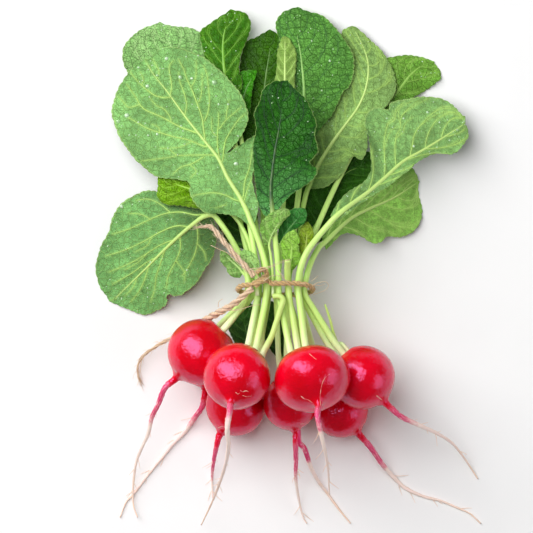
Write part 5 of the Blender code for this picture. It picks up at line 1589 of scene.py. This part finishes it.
# Long loose fibres, (px, py, z mm)
FIBRES = [
    [(249.8, 269.3, 46.4), (257.4, 271.2, 47.6), (268.9, 267.9, 47.8), (279.4, 263.6, 47.6),
     (290, 259.3, 47.4)],
    [(250, 269, 46), (260, 267.8, 47.4), (270, 266.2, 47.8), (281, 261.2, 47.4),
     (289.6, 259.8, 47)],
    [(211, 245.4, 44), (219, 249.2, 44.4), (228.7, 254, 44.8), (238, 263.6, 45.4),
     (248, 272, 46)],
    [(276.6, 269.3, 46.5), (282.3, 276, 47), (289, 284.6, 46), (295.7, 290.9, 44)],
    [(310, 286.6, 37), (317.7, 282.7, 37.6), (325.4, 281.8, 37.4), (328.2, 285.6, 37),
     (324.4, 290.4, 36.6), (312.9, 294.7, 36)],
    [(311, 281.4, 37.4), (314, 279.2, 38), (317.7, 276, 38.6)],
    [(309, 287, 38), (314, 285, 38.6), (320, 285.6, 38), (325, 284, 37.6)],
    [(231.6, 310.5, 40), (241.1, 309, 43), (251.7, 305.7, 45), (261.2, 304.3, 45.2)],
    [(218.2, 307, 33), (219, 301.6, 34), (223, 298.6, 35.4)],
    [(264, 281, 47), (272, 275.6, 47.6), (280, 276.4, 47.2), (286, 281, 46)],
    [(205, 228, 39), (202, 226.6, 39.6), (200.6, 225.8, 40)],
    [(213, 229, 40.6), (209, 225.4, 41), (205.4, 223.8, 41.4)],
    [(260, 279, 47), (255.8, 273, 47.4), (252, 270, 47)],
    [(157, 345.6, 8), (150, 350, 6.6), (145, 355, 5.6), (141, 362, 4.4), (139.6, 372, 3),
     (137, 380, 1.6)],
    [(155, 347.6, 7.4), (147, 351, 5.8), (140, 357.4, 4), (136.6, 365, 2.4), (135.4, 373, 1)],
]

# Floor, light and camera

WORLD, WINDOW, FILL = 0.1, 26.0, 8.0    # light of the room and power of the lamps in W
FLOOR_HALF = 3.0             # m


def stage():
    """Pale floor, soft light from the upper left and a weak fill."""
    mesh = bpy.data.meshes.new("floor")
    s = FLOOR_HALF
    mesh.from_pydata([(-s, -s, 0), (s, -s, 0), (s, s, 0), (-s, s, 0)], [], [(0, 1, 2, 3)])
    floor = bpy.data.objects.new("floor", mesh)
    bpy.context.scene.collection.objects.link(floor)
    mat, tree, shader, where = new_material("floor", 0.9, specular=0.1)
    grain = noise(tree, where, 40.0, 3.0)
    colour = mix(tree, grain, (0.9, 0.9, 0.9, 1), (0.93, 0.93, 0.93, 1))
    tree.links.new(colour, shader.inputs["Base Color"])
    mesh.materials.append(mat)
    world = bpy.data.worlds.new("studio")
    world.use_nodes = True
    world.node_tree.nodes["Background"].inputs["Color"].default_value = (1, 1, 1, 1)
    world.node_tree.nodes["Background"].inputs["Strength"].default_value = WORLD
    bpy.context.scene.world = world
    for name, where_at, size, power in (
            ("window", (-0.62, 0.46, 1.02), (0.95, 1.75), WINDOW),
            ("fill", (1.5, -0.5, 0.75), (1.2, 1.2), FILL)):
        lamp = bpy.data.lights.new(name, "AREA")
        lamp.shape = "RECTANGLE"
        lamp.size, lamp.size_y = size
        lamp.energy = power
        obj = bpy.data.objects.new(name, lamp)
        obj.location = where_at
        obj.rotation_euler = (-Vector(where_at)).to_track_quat("-Z", "Y").to_euler()
        bpy.context.scene.collection.objects.link(obj)


PHOTO_PX = 533               # pixels across the photograph
LOOK_Z = 25.0                # mm, height at which one picture place is PX long
CAMERA_AWAY = 4000.0         # mm from there to the camera


def camera():
    """Camera straight above, framed as the photograph."""
    cam = bpy.data.cameras.new("camera")
    cam.sensor_width = 36.0
    cam.lens = 36.0 * CAMERA_AWAY / (PHOTO_PX * PX)
    cam.clip_end = 20.0
    obj = bpy.data.objects.new("camera", cam)
    x, y = place(PHOTO_PX / 2, PHOTO_PX / 2)
    obj.location = (x * SCALE, y * SCALE, (LOOK_Z + CAMERA_AWAY) * SCALE)
    bpy.context.scene.collection.objects.link(obj)
    bpy.context.scene.camera = obj


def cords(jute, pale):
    """The loop with its knot, and the two free tails."""
    twine("twine_loop_look", loop_route(), jute, "twine_loop", 8.0, (1.22, 1.22))
    for name, points, widths in (
            ("twine_tail_short", TAIL_SHORT, (1.25, 1.3, 1.3, 1.2, 1.15, 1.2, 1.0, 0.6)),
            ("twine_tail_long", TAIL_LONG, (1.3, 1.5, 1.6, 1.6, 1.5, 1.3, 1.0, 0.7, 0.5, 0.4))):
        route = route3(points)
        tail = twine(name + "_look", route, pale, name, 15.0, widths)
        line = smooth(route, 60)


def build_scene():
    """Twine, radishes, leaves and bare stalks, then the floor and the lamps."""
    bpy.context.scene.view_settings.view_transform = "Standard"
    camera()
    jute = jute_material()
    pale = jute_material("jute_pale", ((212, 170, 128), (255, 236, 208), (238, 204, 162)))
    cords(jute, pale)
    rng = np.random.default_rng(7)
    fibres(pale, rng)
    skin, scar = radish_material(), scar_material()
    for name in RADISHES:
        radish(name, skin, scar, rng)
    water = water_material()
    for spec in LEAVES:
        leaf(spec, water, rng)
    stub_mat = stalk_material("leaf_stubs", (236, 244, 200), (202, 232, 128), (196, 224, 120))
    for name in STUBS:
        stub_look(name, stub_mat)
    stage()


build_scene()
